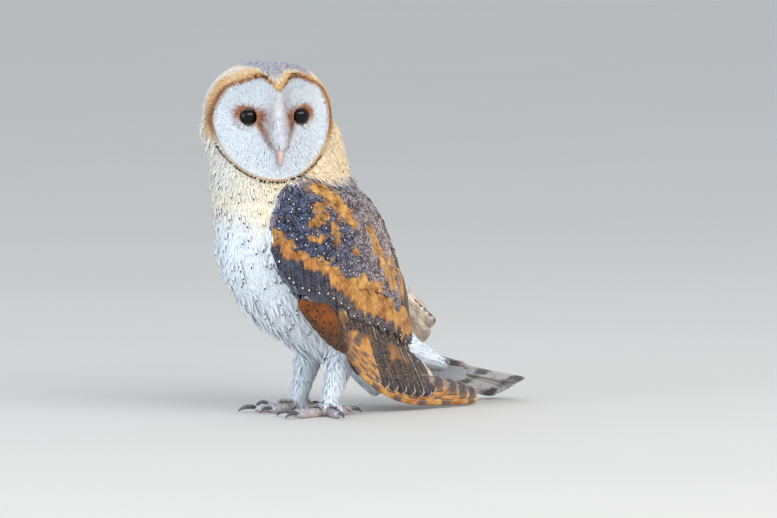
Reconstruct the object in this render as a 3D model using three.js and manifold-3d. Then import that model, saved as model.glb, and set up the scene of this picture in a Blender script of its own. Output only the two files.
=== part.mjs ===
// A barn owl at life size, standing still with its body turned away and its face
// looking over its left wing.
//
// Millimetres. +Z is up and the floor is Z = 0. The trunk faces -Y and +X is the
// bird's left. While it is being made, the bird's X = 0, Y = 0 lies midway between
// its feet; the last lines move the whole bird so that the middle of its box is there.
import * as THREE from 'three';
import { mergeVertices } from 'three/addons/utils/BufferGeometryUtils.js';
import Module from 'manifold-3d';

const wasm = await Module();
wasm.setup();

// ---------------------------------------------------------------- driving dimensions
const GAP = 0.35; // left between neighbours that would otherwise touch
const FINEST = 0.14; // facets that change the shape by less than this are merged

// The trunk with its coat: height, front, back, half width.
const TRUNK_STATIONS = [
  [240, -37, -35, 1],
  [231, -72, -2, 26],
  [219, -82, 17, 31],
  [206, -88, 22, 34],
  [184, -91, 29, 37],
  [161, -87, 42, 45],
  [140, -84, 52, 48],
  [120, -83, 62, 47],
  [98, -74, 71, 45],
  [80, -60, 76, 41],
  [62, -39, 78, 36],
  [48, -15, 78, 31],
  [37, 8, 73, 23],
  [29, 44, 46, 1],
];

// The head, in its own frame: sideways, up and forward from the point between the eyes.
const HEAD_CENTRE = [7, -47, 229];
const HEAD_TURN = 71; // degrees from the trunk's heading, to the bird's left
const DISC_RADIUS = 45;
const DISC_DROP = 3; // the disc's middle lies this far below the eyes
const DISC_NOTCH = 14; // depth of the V between the two lobes
const RIDGE_FORWARD = 35; // the ridge between the eyes
const RIM_BACK = 25; // the disc's side edges lie this far behind the ridge
const DISH_DEPTH = 9.5;
const SKULL = { side: 49.5, up: 42.5, back: 43, rise: -1.5 };
const EYE_RADIUS = 8;
const EYE_SIDE = 19.8;
const EYE_FORWARD = 15;
const BILL_TIP = { up: -37, forward: 36.5 };

// The folded wings. The left one droops and the right one lies higher over the rump.
// wrist is Y, Z; lean is in degrees from the vertical. bend is how many more of them
// the long feathers have, and the lengths where they start and stop bending: the
// primaries lie down on the floor. trailing is the rear edge, measured across the wing
// at five places along it.
const WINGS = {
  left: {
    hand: 1,
    wrist: [-72, 116],
    lean: 47.5,
    bend: { secondaries: [6, 60, 200], primaries: [39.5, 105, 205] },
    trailing: [66, 60, 47, 34, 27],
  },
  right: {
    hand: -1,
    wrist: [-63, 112],
    lean: 57,
    bend: { secondaries: [4, 60, 200], primaries: [17.2, 60, 230] },
    trailing: [80, 70, 62, 55, 38],
  },
};
const TRAILING_PLACES = [100, 125, 143, 172, 190];
const WING_LENGTH = 246;
const WING_THICKNESS = 10;

const TAIL_BASE = [76, 47]; // Y, Z
const TAIL_LENGTH = 122;
const TAIL_SLOPE = [24, 10.5]; // degrees below the horizontal at base and tip
const TAIL_ROLL = 25; // degrees, with the bird's left edge up and its right edge down
const TAIL_HALF = [14, 25]; // half width at base and tip
const TAIL_FEATHERS = 8;

const FOOT_SIDE = 21; // half the distance between the feet
const HEEL = [13, 50]; // Y, Z
const ANKLE = [-1, 8];

// ------------------------------------------------------------------- general helpers
const rad = THREE.MathUtils.degToRad;
const mix = THREE.MathUtils.lerp;
const clamp = THREE.MathUtils.clamp;
const smooth = (x, low, high) => THREE.MathUtils.smoothstep(x, low, high);
const bump = (x, width) => Math.exp(-((x / width) ** 2));

/** A smooth curve through rows of numbers, read at any value of their first column. */
function profile(rows) {
  const keys = rows.map((row) => row[0]);
  const rising = keys[1] > keys[0];
  const tangent = (i, column) => {
    const before = rows[Math.max(i - 1, 0)];
    const after = rows[Math.min(i + 1, rows.length - 1)];
    return (after[column] - before[column]) / (after[0] - before[0]);
  };
  return (key) => {
    let i = 0;
    while (i < rows.length - 2 && (rising ? key > keys[i + 1] : key < keys[i + 1])) i += 1;
    const span = keys[i + 1] - keys[i];
    const u = clamp((key - keys[i]) / span, 0, 1);
    return rows[0].slice(1).map((_, column) => {
      const c = column + 1;
      const start = rows[i][c];
      const end = rows[i + 1][c];
      const h00 = (1 + 2 * u) * (1 - u) ** 2;
      const h10 = u * (1 - u) ** 2;
      const h01 = u * u * (3 - 2 * u);
      const h11 = u * u * (u - 1);
      return h00 * start + h10 * span * tangent(i, c) + h01 * end + h11 * span * tangent(i + 1, c);
    });
  };
}

/** Turns a mesh whose faces point inwards the right way round. */
function outward(geometry) {
  const [a, b, c] = [new THREE.Vector3(), new THREE.Vector3(), new THREE.Vector3()];
  const position = geometry.attributes.position;
  const index = geometry.index.array;
  let volume = 0;
  for (let i = 0; i < index.length; i += 3) {
    a.fromBufferAttribute(position, index[i]);
    b.fromBufferAttribute(position, index[i + 1]);
    c.fromBufferAttribute(position, index[i + 2]);
    volume += a.dot(b.cross(c));
  }
  if (volume < 0) index.reverse();
  return geometry;
}

/** A closed body: a sphere's grid, whose every point goes to place(along, angle). */
function form(around, along, place) {
  const sphere = new THREE.SphereGeometry(1, around, along);
  sphere.deleteAttribute('normal');
  sphere.deleteAttribute('uv');
  const geometry = mergeVertices(sphere);
  const position = geometry.attributes.position;
  const point = new THREE.Vector3();
  for (let i = 0; i < position.count; i += 1) {
    point.fromBufferAttribute(position, i);
    const share = Math.acos(clamp(point.y, -1, 1)) / Math.PI;
    position.setXYZ(i, ...place(share, Math.atan2(point.z, point.x)));
  }
  return outward(geometry);
}

/** The same body with its surface moved out by a distance. */
function swell(geometry, distance = GAP) {
  const larger = geometry.clone();
  larger.computeVertexNormals();
  const { position, normal } = larger.attributes;
  for (let i = 0; i < position.count; i += 1) {
    position.setXYZ(
      i,
      position.getX(i) + normal.getX(i) * distance,
      position.getY(i) + normal.getY(i) * distance,
      position.getZ(i) + normal.getZ(i) * distance,
    );
  }
  larger.deleteAttribute('normal');
  return larger;
}

function solid(geometry) {
  const vertProperties = geometry.attributes.position.array;
  const triVerts = Uint32Array.from(geometry.index.array);
  return new wasm.Manifold(new wasm.Mesh({ numProp: 3, vertProperties, triVerts }));
}

const join = (solids) => solids.reduce((whole, next) => whole.add(next));
const cut = (whole, tools) => tools.reduce((rest, tool) => rest.subtract(tool), whole);

/** The largest of a solid's separate lumps. */
function mainLump(whole) {
  const lumps = whole.decompose();
  return lumps.reduce((best, lump) => (lump.volume() > best.volume() ? lump : best));
}

/** A big block whose lower face passes through a point and tilts about the X and Y axes. */
function blockAbove(point, tiltX, tiltY, lift) {
  const size = 800;
  const block = new THREE.BoxGeometry(size, size, size);
  block.deleteAttribute('normal');
  block.deleteAttribute('uv');
  const merged = mergeVertices(block);
  merged.translate(0, 0, size / 2 + lift);
  merged.rotateX(rad(tiltX));
  merged.rotateY(rad(tiltY));
  merged.translate(...point);
  return solid(merged);
}

const aboveFloor = blockAbove([0, 0, 0], 0, 0, 0);

/** A tapered tube along points: each row is x, y, z, half width, half height. */
function taperedTube(rows, around, along) {
  const centres = new THREE.CatmullRomCurve3(rows.map((row) => new THREE.Vector3(...row)));
  const girth = profile(rows.map((row, i) => [i / (rows.length - 1), row[3], row[4]]));
  // What hangs down takes its sections from the bird's back, what lies flat from above.
  const chord = centres.getPoint(1).sub(centres.getPoint(0));
  const hangs = Math.abs(chord.z) > Math.hypot(chord.x, chord.y);
  const up = hangs ? new THREE.Vector3(0, 1, 0) : new THREE.Vector3(0, 0, 1);
  return form(around, along, (share, angle) => {
    // The first and last rings round off the ends.
    const u = clamp((share - 0.08) / 0.84, 0, 1);
    const ring = share === 0 || share === 1 ? 0 : 1;
    const centre = centres.getPoint(u);
    const heading = centres.getTangent(u);
    const side = new THREE.Vector3().crossVectors(heading, up).normalize();
    const top = new THREE.Vector3().crossVectors(side, heading);
    const [wide, high] = girth(u);
    const overhang = (share === 0 ? -0.5 : 0) + (share === 1 ? 0.5 : 0);
    return centre
      .addScaledVector(side, Math.cos(angle) * wide * ring)
      .addScaledVector(top, Math.sin(angle) * high * ring)
      .addScaledVector(heading, overhang * high)
      .toArray();
  });
}

// ----------------------------------------------------------------------------- trunk
const trunkAt = profile(TRUNK_STATIONS);
const TRUNK_TOP = TRUNK_STATIONS[0][0];
const TRUNK_BOTTOM = TRUNK_STATIONS[TRUNK_STATIONS.length - 1][0];

const trunkShape = form(30, 18, (share, angle) => {
  const height = mix(TRUNK_TOP, TRUNK_BOTTOM, share);
  const [front, back, half] = trunkAt(height);
  const pole = share === 0 || share === 1 ? 0 : 1;
  const middle = (front + back) / 2;
  const deep = ((back - front) / 2) * pole;
  return [Math.cos(angle) * half * pole, middle + Math.sin(angle) * deep, height];
});

/** How far the trunk's side, swollen by a lift, stands from the midplane. */
function trunkSide(y, z, lift) {
  const [front, back, half] = trunkAt(clamp(z, TRUNK_BOTTOM, TRUNK_TOP));
  const reach = (y - (front + back) / 2) / ((back - front) / 2 + lift);
  return (half + lift) * Math.sqrt(Math.max(0, 1 - reach * reach));
}

// The white tuft of vent feathers that hangs between the legs and the tail.
const ventShape = taperedTube(
  [
    [0, 40, 50, 24, 20],
    [0, 49, 32, 20, 15],
    [0, 55, 18, 12, 9],
    [0, 58, 8, 4, 3],
  ],
  12,
  8,
);

// ------------------------------------------------------------------------------ head
/** The heart-shaped disc's outline, as a distance from its middle at an angle. */
function discRadius(angle) {
  const fromTop = Math.atan2(Math.cos(angle), Math.sin(angle)); // 0 at the notch
  const lobes = 5 * bump(fromTop, rad(36));
  const notch = DISC_NOTCH * bump(fromTop, rad(13));
  return DISC_RADIUS - 1 - lobes - notch + 1.5 * bump(Math.abs(fromTop) - rad(90), rad(25));
}

/** How far forward the face lies; edge is 0 at the disc's middle and 1 at its rim. */
function faceForward(side, up, edge) {
  const wedge = RIDGE_FORWARD - RIM_BACK * (Math.abs(side) / DISC_RADIUS) ** 1.8;
  const dish = DISH_DEPTH * (1 - edge * edge) * (1 - bump(side, 9));
  const chin = 5 * smooth(-up, 26, 50);
  const lip = 1.2 * bump(edge - 1, 0.08);
  return wedge - dish - chin + lip;
}

const FACE_SHARE = 0.44; // of the grid's rings
const headShape = form(36, 18, (share, angle) => {
  const radius = discRadius(angle);
  const out = [Math.cos(angle), Math.sin(angle)];
  const edge = clamp(share / FACE_SHARE, 0, 1);
  const side = out[0] * radius * edge;
  const up = out[1] * radius * edge - DISC_DROP * edge;
  const face = [side, up, faceForward(side, up, edge)];
  if (share <= FACE_SHARE) return face;
  // Behind the rim the ruff swells out and runs into the round back of the head.
  const round = (share - FACE_SHARE) / (1 - FACE_SHARE);
  const turn = mix(rad(52), Math.PI, round);
  // The ruff is full at the cheeks, and the crown's corners stand a little square.
  const corner = Math.abs(Math.sin(2 * angle)) * (out[1] < 0 ? 0.17 : 0.06);
  const girth = Math.sin(turn) * (1 + corner * (turn < Math.PI / 2 ? 1 : Math.sin(turn) ** 2));
  const back = [
    SKULL.side * girth * out[0],
    SKULL.up * girth * out[1] + SKULL.rise,
    Math.cos(turn) * (turn < Math.PI / 2 ? 42 : SKULL.back),
  ];
  const blend = smooth(round, 0, 0.3);
  return face.map((value, i) => mix(value, back[i], blend));
});

const HEAD_FRAME = new THREE.Matrix4()
  .makeTranslation(...HEAD_CENTRE)
  .multiply(new THREE.Matrix4().makeRotationZ(rad(HEAD_TURN)))
  .multiply(
    // side, up, forward become X, Z and -Y
    new THREE.Matrix4().makeBasis(
      new THREE.Vector3(1, 0, 0),
      new THREE.Vector3(0, 0, 1),
      new THREE.Vector3(0, -1, 0),
    ),
  );
const onHead = (geometry) => outward(geometry.applyMatrix4(HEAD_FRAME));
onHead(headShape);

const eyeShapes = [-1, 1].map((hand) => {
  const ball = form(10, 8, (share, angle) => {
    const girth = Math.sin(share * Math.PI);
    return [
      hand * EYE_SIDE + EYE_RADIUS * girth * Math.cos(angle),
      EYE_RADIUS * girth * Math.sin(angle),
      EYE_FORWARD + EYE_RADIUS * Math.cos(share * Math.PI),
    ];
  });
  return onHead(ball);
});

/** A horn, drawn along a curve in the head's midplane: rows of up, forward, wide, deep. */
function billPart(rows) {
  const middle = rows.map(([up, forward]) => new THREE.Vector3(0, up, forward));
  const curve = new THREE.CatmullRomCurve3(middle);
  const girth = profile(rows.map((row, i) => [i / (rows.length - 1), row[2], row[3]]));
  const shape = form(8, 8, (share, angle) => {
    const centre = curve.getPoint(share);
    const heading = curve.getTangent(share);
    const [wide, deep] = girth(share);
    const pole = share === 0 || share === 1 ? 0 : 1;
    const across = new THREE.Vector3(1, 0, 0);
    const front = new THREE.Vector3().crossVectors(heading, across);
    return centre
      .addScaledVector(across, Math.cos(angle) * wide * pole)
      .addScaledVector(front, Math.sin(angle) * deep * pole)
      .toArray();
  });
  return onHead(shape);
}

const upperBill = billPart([
  [-14, 31.5, 2.6, 3],
  [-21, 35, 3.4, 3.6],
  [-28, 37.6, 3.1, 3.4],
  [-33.5, 38.2, 2.1, 2.3],
  [BILL_TIP.up, BILL_TIP.forward, 0.5, 0.6],
]);
const lowerBill = billPart([
  [-20, 27.5, 2.4, 1.6],
  [-27, 31.8, 2.9, 1.8],
  [-32.5, 34.2, 1.7, 1.2],
  [-34.5, 34.4, 0.5, 0.5],
]);

// ----------------------------------------------------------------------------- wings
/** A layer's axis in side view, as its Y, Z and lean at each millimetre. */
function layerAxis(wing, layer) {
  const [more, from, to] = wing.bend[layer];
  const rows = [];
  let [y, z] = wing.wrist;
  for (let s = 0; s <= WING_LENGTH; s += 1) {
    const angle = rad(wing.lean + more * smooth(s, from, to));
    rows.push([y, z, angle]);
    y += Math.sin(angle);
    z -= Math.cos(angle);
  }
  return rows;
}

Object.values(WINGS).forEach((wing) => {
  wing.axis = {
    secondaries: layerAxis(wing, 'secondaries'),
    primaries: layerAxis(wing, 'primaries'),
  };
});

/** Takes along, across and sideways in a folded wing's layer to X, Y, Z. */
function onWing(wing, layer, along, across, sideways) {
  const axis = wing.axis[layer];
  const whole = clamp(Math.floor(along), 0, axis.length - 1);
  const [y, z, angle] = axis[whole];
  const rest = along - whole;
  return [
    wing.hand * sideways,
    y + rest * Math.sin(angle) + across * Math.cos(angle),
    z - rest * Math.cos(angle) + across * Math.sin(angle),
  ];
}

// How far a wing's lower edge hangs from the midplane, along the wing.
const wingSpread = profile([
  [-30, 34],
  [-10, 40],
  [20, 47],
  [70, 49],
  [120, 45],
  [175, 38],
  [250, 29],
]);

/** How far the wing's outer face stands from the midplane. */
function wingFace(wing, along, across) {
  const [, y, z] = onWing(wing, 'secondaries', along, across, 0);
  const hanging = wingSpread(along)[0] - Math.max(0, across - 20) ** 2 / 36;
  const lying = z > TRUNK_BOTTOM ? trunkSide(y, z, 7) : 0;
  return Math.max(hanging, lying, 7);
}

// The edges of the covert mass: along the wing, lower edge, upper edge.
const covertEdges = profile([
  [-28, 52, 58],
  [-24, 41, 67],
  [-18, 29, 76],
  [0, 10, 88],
  [12, 3, 96],
  [30, 0, 103],
  [60, -3, 106],
  [90, -5, 98],
  [106, -3, 86],
  [120, 5, 68],
  [128, 20, 52],
]);

function covertMass(wing) {
  return form(16, 13, (share, angle) => {
    const along = mix(-28, 128, (1 - Math.cos(share * Math.PI)) / 2);
    const [low, high] = covertEdges(along);
    const pole = share === 0 || share === 1 ? 0 : 1;
    const across = (low + high) / 2 + ((high - low) / 2) * Math.cos(angle) * pole;
    const thick = (WING_THICKNESS / 2) * pole;
    const sideways = wingFace(wing, along, across) - thick + thick * Math.sin(angle);
    return onWing(wing, 'secondaries', along, across, sideways);
  });
}

/** The edge of overlapping feathers: level along each one, then a step at its tip. */
function stepped(along, from, to, count, change) {
  const place = (along - from) / (to - from);
  if (place <= 0 || place >= 1) return 0;
  return (change / count) * (0.5 - ((place * count) % 1));
}

const VANE_THICKNESS = 3;

/** A flat stack of long feathers between two edges of one layer of the wing. */
function featherStack(wing, layer, start, end, depth, edgesAt) {
  return form(6, 26, (share, angle) => {
    const along = mix(start, end, share);
    const [low, high] = edgesAt(along);
    const pole = share === 0 || share === 1 ? 0 : 1;
    const across = (low + high) / 2 + ((high - low) / 2) * Math.cos(angle) * pole;
    const thick = (VANE_THICKNESS / 2) * pole;
    const sideways = wingFace(wing, along, across) - depth + thick * Math.sin(angle);
    return onWing(wing, layer, along, across, sideways);
  });
}

function secondaries(wing) {
  const ends = TRAILING_PLACES.map((place, i) => [place, wing.trailing[i]]);
  const rear = profile([[70, wing.trailing[0] + 2], ...ends]);
  const front = profile([
    [70, -3],
    [124, -3],
    [142, 2],
    [158, 7],
    [175, 13],
    [191, 22],
  ]);
  const drop = wing.trailing[0] - wing.trailing[4];
  return featherStack(wing, 'secondaries', 72, 193, 2.6, (along) => [
    front(along)[0] + stepped(along, 124, 191, 4, 24),
    rear(along)[0] - stepped(along, 100, 190, 5, drop),
  ]);
}

function primaries(wing) {
  const rear = profile([
    [90, 24],
    [165, 22],
    [186, 13],
    [200, 8],
    [218, 6.5],
    [235, 3],
    [WING_LENGTH, -1],
  ]);
  return featherStack(wing, 'primaries', 92, WING_LENGTH, 5, (along) => [
    -4.6,
    rear(along)[0] - stepped(along, 196, WING_LENGTH - 4, 4, 7),
  ]);
}

// ------------------------------------------------------------------------------ tail
/** The tail's middle line in side view, as Y, Z and slope. */
function tailAt(share) {
  const steps = 25;
  let [y, z] = TAIL_BASE;
  let slope = rad(TAIL_SLOPE[0]);
  for (let i = 0; i < steps * share; i += 1) {
    const part = Math.min(1, steps * share - i) * (TAIL_LENGTH / steps);
    slope = rad(mix(...TAIL_SLOPE, i / steps));
    y += Math.cos(slope) * part;
    z -= Math.sin(slope) * part;
  }
  return [y, z, slope];
}

const tailFan = form(20, 9, (share, angle) => {
  const pole = share === 0 || share === 1 ? 0 : 1;
  const half = mix(...TAIL_HALF, share);
  const x = half * Math.cos(angle) * pole;
  const fan = Math.cos(angle) * pole;
  // The tip is cut square, with the middle of each feather a little longer.
  const scallop = 0.025 * Math.abs(Math.sin((fan * TAIL_FEATHERS * Math.PI) / 2));
  const reach = Math.min(1, share * 1.1) * (1 - 0.05 * fan * fan - (share > 0.8 ? scallop : 0));
  const [y, z, slope] = tailAt(reach);
  const lift = 1.6 * Math.sin(angle) * pole - (x * x) / 260;
  const roll = rad(TAIL_ROLL) * smooth(share, 0, 0.6);
  const side = x * Math.cos(roll) - lift * Math.sin(roll);
  const rise = x * Math.sin(roll) + lift * Math.cos(roll);
  return [side, y + rise * Math.sin(slope), z + rise * Math.cos(slope)];
});

// Tail coverts carry the trunk's line on to the tail.
const tailCoverts = taperedTube(
  [
    [0, 54, 58, 26, 20],
    [0, 80, 44, 24, 13],
    [0, 106, 34, 18, 7],
    [0, 126, 27, 8, 3],
  ],
  14,
  8,
);

// ------------------------------------------------------------------------------ legs
function thighShape(hand) {
  return taperedTube(
    [
      [hand * 21, 8, 92, 15, 22],
      [hand * 22, 10, 70, 15, 20],
      [hand * 21.5, 13, 52, 12, 14],
      [hand * FOOT_SIDE, 12, 41, 9, 9.5],
    ],
    12,
    9,
  );
}

function tarsusShape(hand) {
  const [heelY, heelZ] = HEEL;
  const [ankleY, ankleZ] = ANKLE;
  return taperedTube(
    [
      [hand * FOOT_SIDE, heelY, heelZ, 8.5, 9.5],
      [hand * FOOT_SIDE, mix(heelY, ankleY, 0.45), mix(heelZ, ankleZ, 0.45), 8, 8.5],
      [hand * FOOT_SIDE, mix(heelY, ankleY, 0.8), mix(heelZ, ankleZ, 0.8), 6.6, 6.8],
      [hand * FOOT_SIDE, ankleY, ankleZ, 5.6, 5.8],
    ],
    12,
    8,
  );
}

// Each toe: its name, its heading in degrees from straight ahead towards the outside,
// its length, its half thickness and its claw's length.
const TOES = [
  ['inner', -14, 29, 3.2, 14],
  ['middle', 13, 34, 3.4, 15],
  ['outer', 74, 28, 3.1, 13],
  ['hind', 168, 18, 3.1, 12],
];

/** A point on the floor plan of a foot, at a distance along one toe's heading. */
function toePoint(hand, heading, distance, height) {
  const turn = rad(heading);
  return [
    hand * (FOOT_SIDE + Math.sin(turn) * distance),
    ANKLE[0] - 1 - Math.cos(turn) * distance,
    height,
  ];
}

function toeShape(hand, [, heading, length, half]) {
  const rows = [
    [...toePoint(hand, heading, 0, 4), half * 1.3, half * 1.4],
    [...toePoint(hand, heading, length * 0.35, 3), half * 1.05, half * 1.15],
    [...toePoint(hand, heading, length * 0.7, 2.7), half, half * 1.1],
    [...toePoint(hand, heading, length, 2.6), half * 0.8, half * 0.95],
  ];
  return taperedTube(rows, 7, 5);
}

function clawShape(hand, [, heading, length, half, claw]) {
  const rows = [
    [...toePoint(hand, heading, length - 3, 3.6), half * 0.5, half * 0.6],
    [...toePoint(hand, heading, length + claw * 0.3, 5), half * 0.5, half * 0.6],
    [...toePoint(hand, heading, length + claw * 0.68, 3.7), half * 0.33, half * 0.4],
    [...toePoint(hand, heading, length + claw * 0.9, 0.9), 0.35, 0.4],
  ];
  return taperedTube(rows, 7, 5);
}

// ------------------------------------------------------------------------- materials
const finish = (color, roughness) => new THREE.MeshStandardMaterial({ color, roughness, metalness: 0 });
const WHITE_FEATHER = finish(0xece6d8, 0.95);
const FACE_FEATHER = finish(0xf0e8dc, 0.95);
const WING_FEATHER = finish(0xb98a4e, 0.9);
const FLIGHT_FEATHER = finish(0x8a7660, 0.85);
const SKIN = finish(0x9c8d86, 0.7);
const CLAW_HORN = finish(0x2e2b2d, 0.4);
const BILL_HORN = finish(0xd9c3b4, 0.5);
const EYE = finish(0x0d0a09, 0.08);

const owl = new THREE.Group();

function addPart(name, whole, material) {
  const lump = mainLump(whole.simplify(FINEST)).getMesh();
  const geometry = new THREE.BufferGeometry();
  geometry.setAttribute('position', new THREE.BufferAttribute(lump.vertProperties, 3));
  geometry.setIndex(new THREE.BufferAttribute(lump.triVerts, 1));
  const part = new THREE.Mesh(geometry, material);
  part.name = name;
  owl.add(part);
  return part;
}

// --------------------------------------------------------------------------- assembly
const eyeSockets = eyeShapes.map((shape) => solid(swell(shape)));
const billRoom = [upperBill, lowerBill].map((shape) => solid(swell(shape)));

// The body is one form, parted by two thin tilted cuts into head, neck and trunk.
const HEAD_CUT = [[0, -38, 187], 9, 13];
const NECK_CUT = [[0, -38, 166], 9, 4];
const body = join([solid(trunkShape), solid(ventShape), solid(headShape)]);
const aboveHeadCut = blockAbove(...HEAD_CUT, GAP / 2);
const fromHeadCut = blockAbove(...HEAD_CUT, -GAP / 2);
const aboveNeckCut = blockAbove(...NECK_CUT, GAP / 2);
const fromNeckCut = blockAbove(...NECK_CUT, -GAP / 2);
const roomInHead = [...eyeSockets, ...billRoom];

const thighs = [-1, 1].map(thighShape);
const tarsi = [-1, 1].map(tarsusShape);
const legRoom = thighs.map((shape) => solid(swell(shape)));
const bodyRoom = [solid(swell(trunkShape)), solid(swell(headShape)), solid(swell(ventShape))];

addPart('head', cut(body.intersect(aboveHeadCut), roomInHead), FACE_FEATHER);
addPart('neck', cut(body.subtract(fromHeadCut).intersect(aboveNeckCut), roomInHead), WHITE_FEATHER);
addPart('trunk', cut(body.subtract(fromNeckCut), legRoom), WHITE_FEATHER);

const tailShapes = [tailCoverts, tailFan];
const tail = cut(join(tailShapes.map(solid)).intersect(aboveFloor), bodyRoom);
addPart('tail', tail, FLIGHT_FEATHER);
const tailRoom = tailShapes.map((shape) => solid(swell(shape)));

Object.entries(WINGS).forEach(([side, wing]) => {
  const { hand } = wing;
  const i = hand < 0 ? 0 : 1;
  const coverts = covertMass(wing);
  const room = [...bodyRoom, ...legRoom, solid(swell(tarsi[i])), ...tailRoom];
  addPart(`wing_${side}`, cut(solid(coverts).intersect(aboveFloor), room), WING_FEATHER);
  const quills = join([solid(secondaries(wing)), solid(primaries(wing))]).intersect(aboveFloor);
  addPart(`flight_feathers_${side}`, cut(quills, [solid(swell(coverts)), ...room]), FLIGHT_FEATHER);

  addPart(`thigh_${side}`, solid(thighs[i]), WHITE_FEATHER);
  addPart(`tarsus_${side}`, cut(solid(tarsi[i]), [legRoom[i], ...bodyRoom]), WHITE_FEATHER);

  const claws = TOES.map((toe) => clawShape(hand, toe));
  const toes = TOES.map((toe) => solid(toeShape(hand, toe)));
  const clawRoom = claws.map((shape) => solid(swell(shape)));
  const foot = cut(join(toes).intersect(aboveFloor), [solid(swell(tarsi[i])), ...clawRoom]);
  addPart(`foot_${side}`, foot, SKIN);
  claws.forEach((shape, toe) => {
    addPart(`claw_${side}_${TOES[toe][0]}`, solid(shape).intersect(aboveFloor), CLAW_HORN);
  });
  addPart(`eye_${side}`, solid(eyeShapes[i]), EYE);
});

addPart('bill_upper', solid(upperBill), BILL_HORN);
addPart('bill_lower', cut(solid(lowerBill), [billRoom[0]]), BILL_HORN);

// The middle of the bird's box goes to X = 0, Y = 0, with its lowest point on the floor.
const box = new THREE.Box3().setFromObject(owl);
const middle = box.getCenter(new THREE.Vector3());
owl.position.set(-middle.x, -middle.y, -box.min.z);

export default owl;
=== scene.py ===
# %% [markdown]
# # A barn owl that looks back over its wing
# This file dresses a plain solid owl in feathers. The solid is already there: it gives the
# size, the stance and the place of every part. Here it gets a skin, a coat of about sixty-seven
# thousand small feathers, long wing and tail feathers, lids, glossy eyes and horn.
# Lengths inside the file are in millimetres, as a feather maker would measure them, and
# are turned to metres when a mesh is made.

import math

import bmesh
import bpy
import numpy as np
from mathutils import Matrix, Vector
from mathutils.bvhtree import BVHTree


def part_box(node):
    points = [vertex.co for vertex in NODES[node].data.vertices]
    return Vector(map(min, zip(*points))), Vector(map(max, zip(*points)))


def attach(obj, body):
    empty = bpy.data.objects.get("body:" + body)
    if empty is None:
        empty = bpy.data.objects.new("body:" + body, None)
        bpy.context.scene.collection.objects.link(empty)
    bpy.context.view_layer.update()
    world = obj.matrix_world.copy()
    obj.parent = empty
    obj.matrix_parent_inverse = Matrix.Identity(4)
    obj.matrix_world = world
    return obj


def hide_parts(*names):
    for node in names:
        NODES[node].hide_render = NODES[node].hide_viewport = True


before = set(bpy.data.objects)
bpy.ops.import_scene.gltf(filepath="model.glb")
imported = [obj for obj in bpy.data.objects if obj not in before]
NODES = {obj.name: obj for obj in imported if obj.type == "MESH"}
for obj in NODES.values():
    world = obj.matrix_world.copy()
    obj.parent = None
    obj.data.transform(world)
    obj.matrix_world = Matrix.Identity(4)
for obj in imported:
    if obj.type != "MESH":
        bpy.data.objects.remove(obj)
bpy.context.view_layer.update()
print("solid nodes:", len(NODES))

# %% [markdown]
# The owl's own coordinates start on the floor between its feet. The eyes are the surest
# marks on the solid, so the head's frame is found from them: sideways is the line from the
# right eye to the left one, and the owl looks level, a quarter turn from that line.

# %% The owl's origin and the head's frame
MM = 0.001
EYE_FORWARD = 15.0
HEAD_CENTRE = np.array([7.0, -47.0, 229.0])


def middle(node):
    low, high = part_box(node)
    return np.array((low + high) / 2)


eye_left, eye_right = middle("eye_left"), middle("eye_right")
SIDE = (eye_left - eye_right) / np.linalg.norm(eye_left - eye_right)
FORWARD = np.array([SIDE[1], -SIDE[0], 0.0])
UP = np.array([0.0, 0.0, 1.0])
ORIGIN = (eye_left + eye_right) / 2 - FORWARD * EYE_FORWARD * MM - HEAD_CENTRE * MM
EYE_SIDE = np.linalg.norm(eye_left - eye_right) / 2 / MM
HEAD_AXES = np.array([SIDE, UP, FORWARD])
print("origin", ORIGIN.round(4), "eye distance", round(2 * EYE_SIDE, 2))


def to_metres(points):
    return points * MM + ORIGIN


def to_millimetres(points):
    return (points - ORIGIN) / MM


def placed(name, data):
    """A new object in the scene."""
    thing = bpy.data.objects.new(name, data)
    bpy.context.scene.collection.objects.link(thing)
    return thing


# %% [markdown]
# The camera looks at the owl from its left, a little from the front and from just above,
# through a long lens, so that nothing near it looks too large.

# %% The camera
AZIMUTH, ELEVATION, FAR = math.radians(55), math.radians(5), 8.0
MIDDLE_RIGHT, MIDDLE_UP = 0.01746, 0.1143
LENS = 487.8
right = Vector((math.cos(AZIMUTH), math.sin(AZIMUTH), 0))
level = Vector((math.sin(AZIMUTH), -math.cos(AZIMUTH), 0))
towards = level * math.cos(ELEVATION) + Vector((0, 0, math.sin(ELEVATION)))
above = towards.cross(right)
target = right * MIDDLE_RIGHT + above * MIDDLE_UP
camera = placed("camera", bpy.data.cameras.new("camera"))
camera.data.lens = LENS
camera.data.sensor_width = 36
camera.data.clip_end = 60
aim = Matrix((right, above, towards)).transposed().to_4x4()
camera.matrix_world = Matrix.Translation(target + towards * FAR) @ aim
bpy.context.scene.camera = camera
print("camera", [round(v, 3) for v in target + towards * FAR])


# %% [markdown]
# A few small curves are used again and again: a step that starts and ends softly, a bell,
# and a smooth line through rows of measures.

# %% Small curves
def soft_step(x, low, high):
    u = np.clip((x - low) / (high - low), 0, 1)
    return u * u * (3 - 2 * u)


def bell(x, width):
    return np.exp(-((x / width) ** 2))


def blend(a, b, share):
    return a + (b - a) * share


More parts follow.
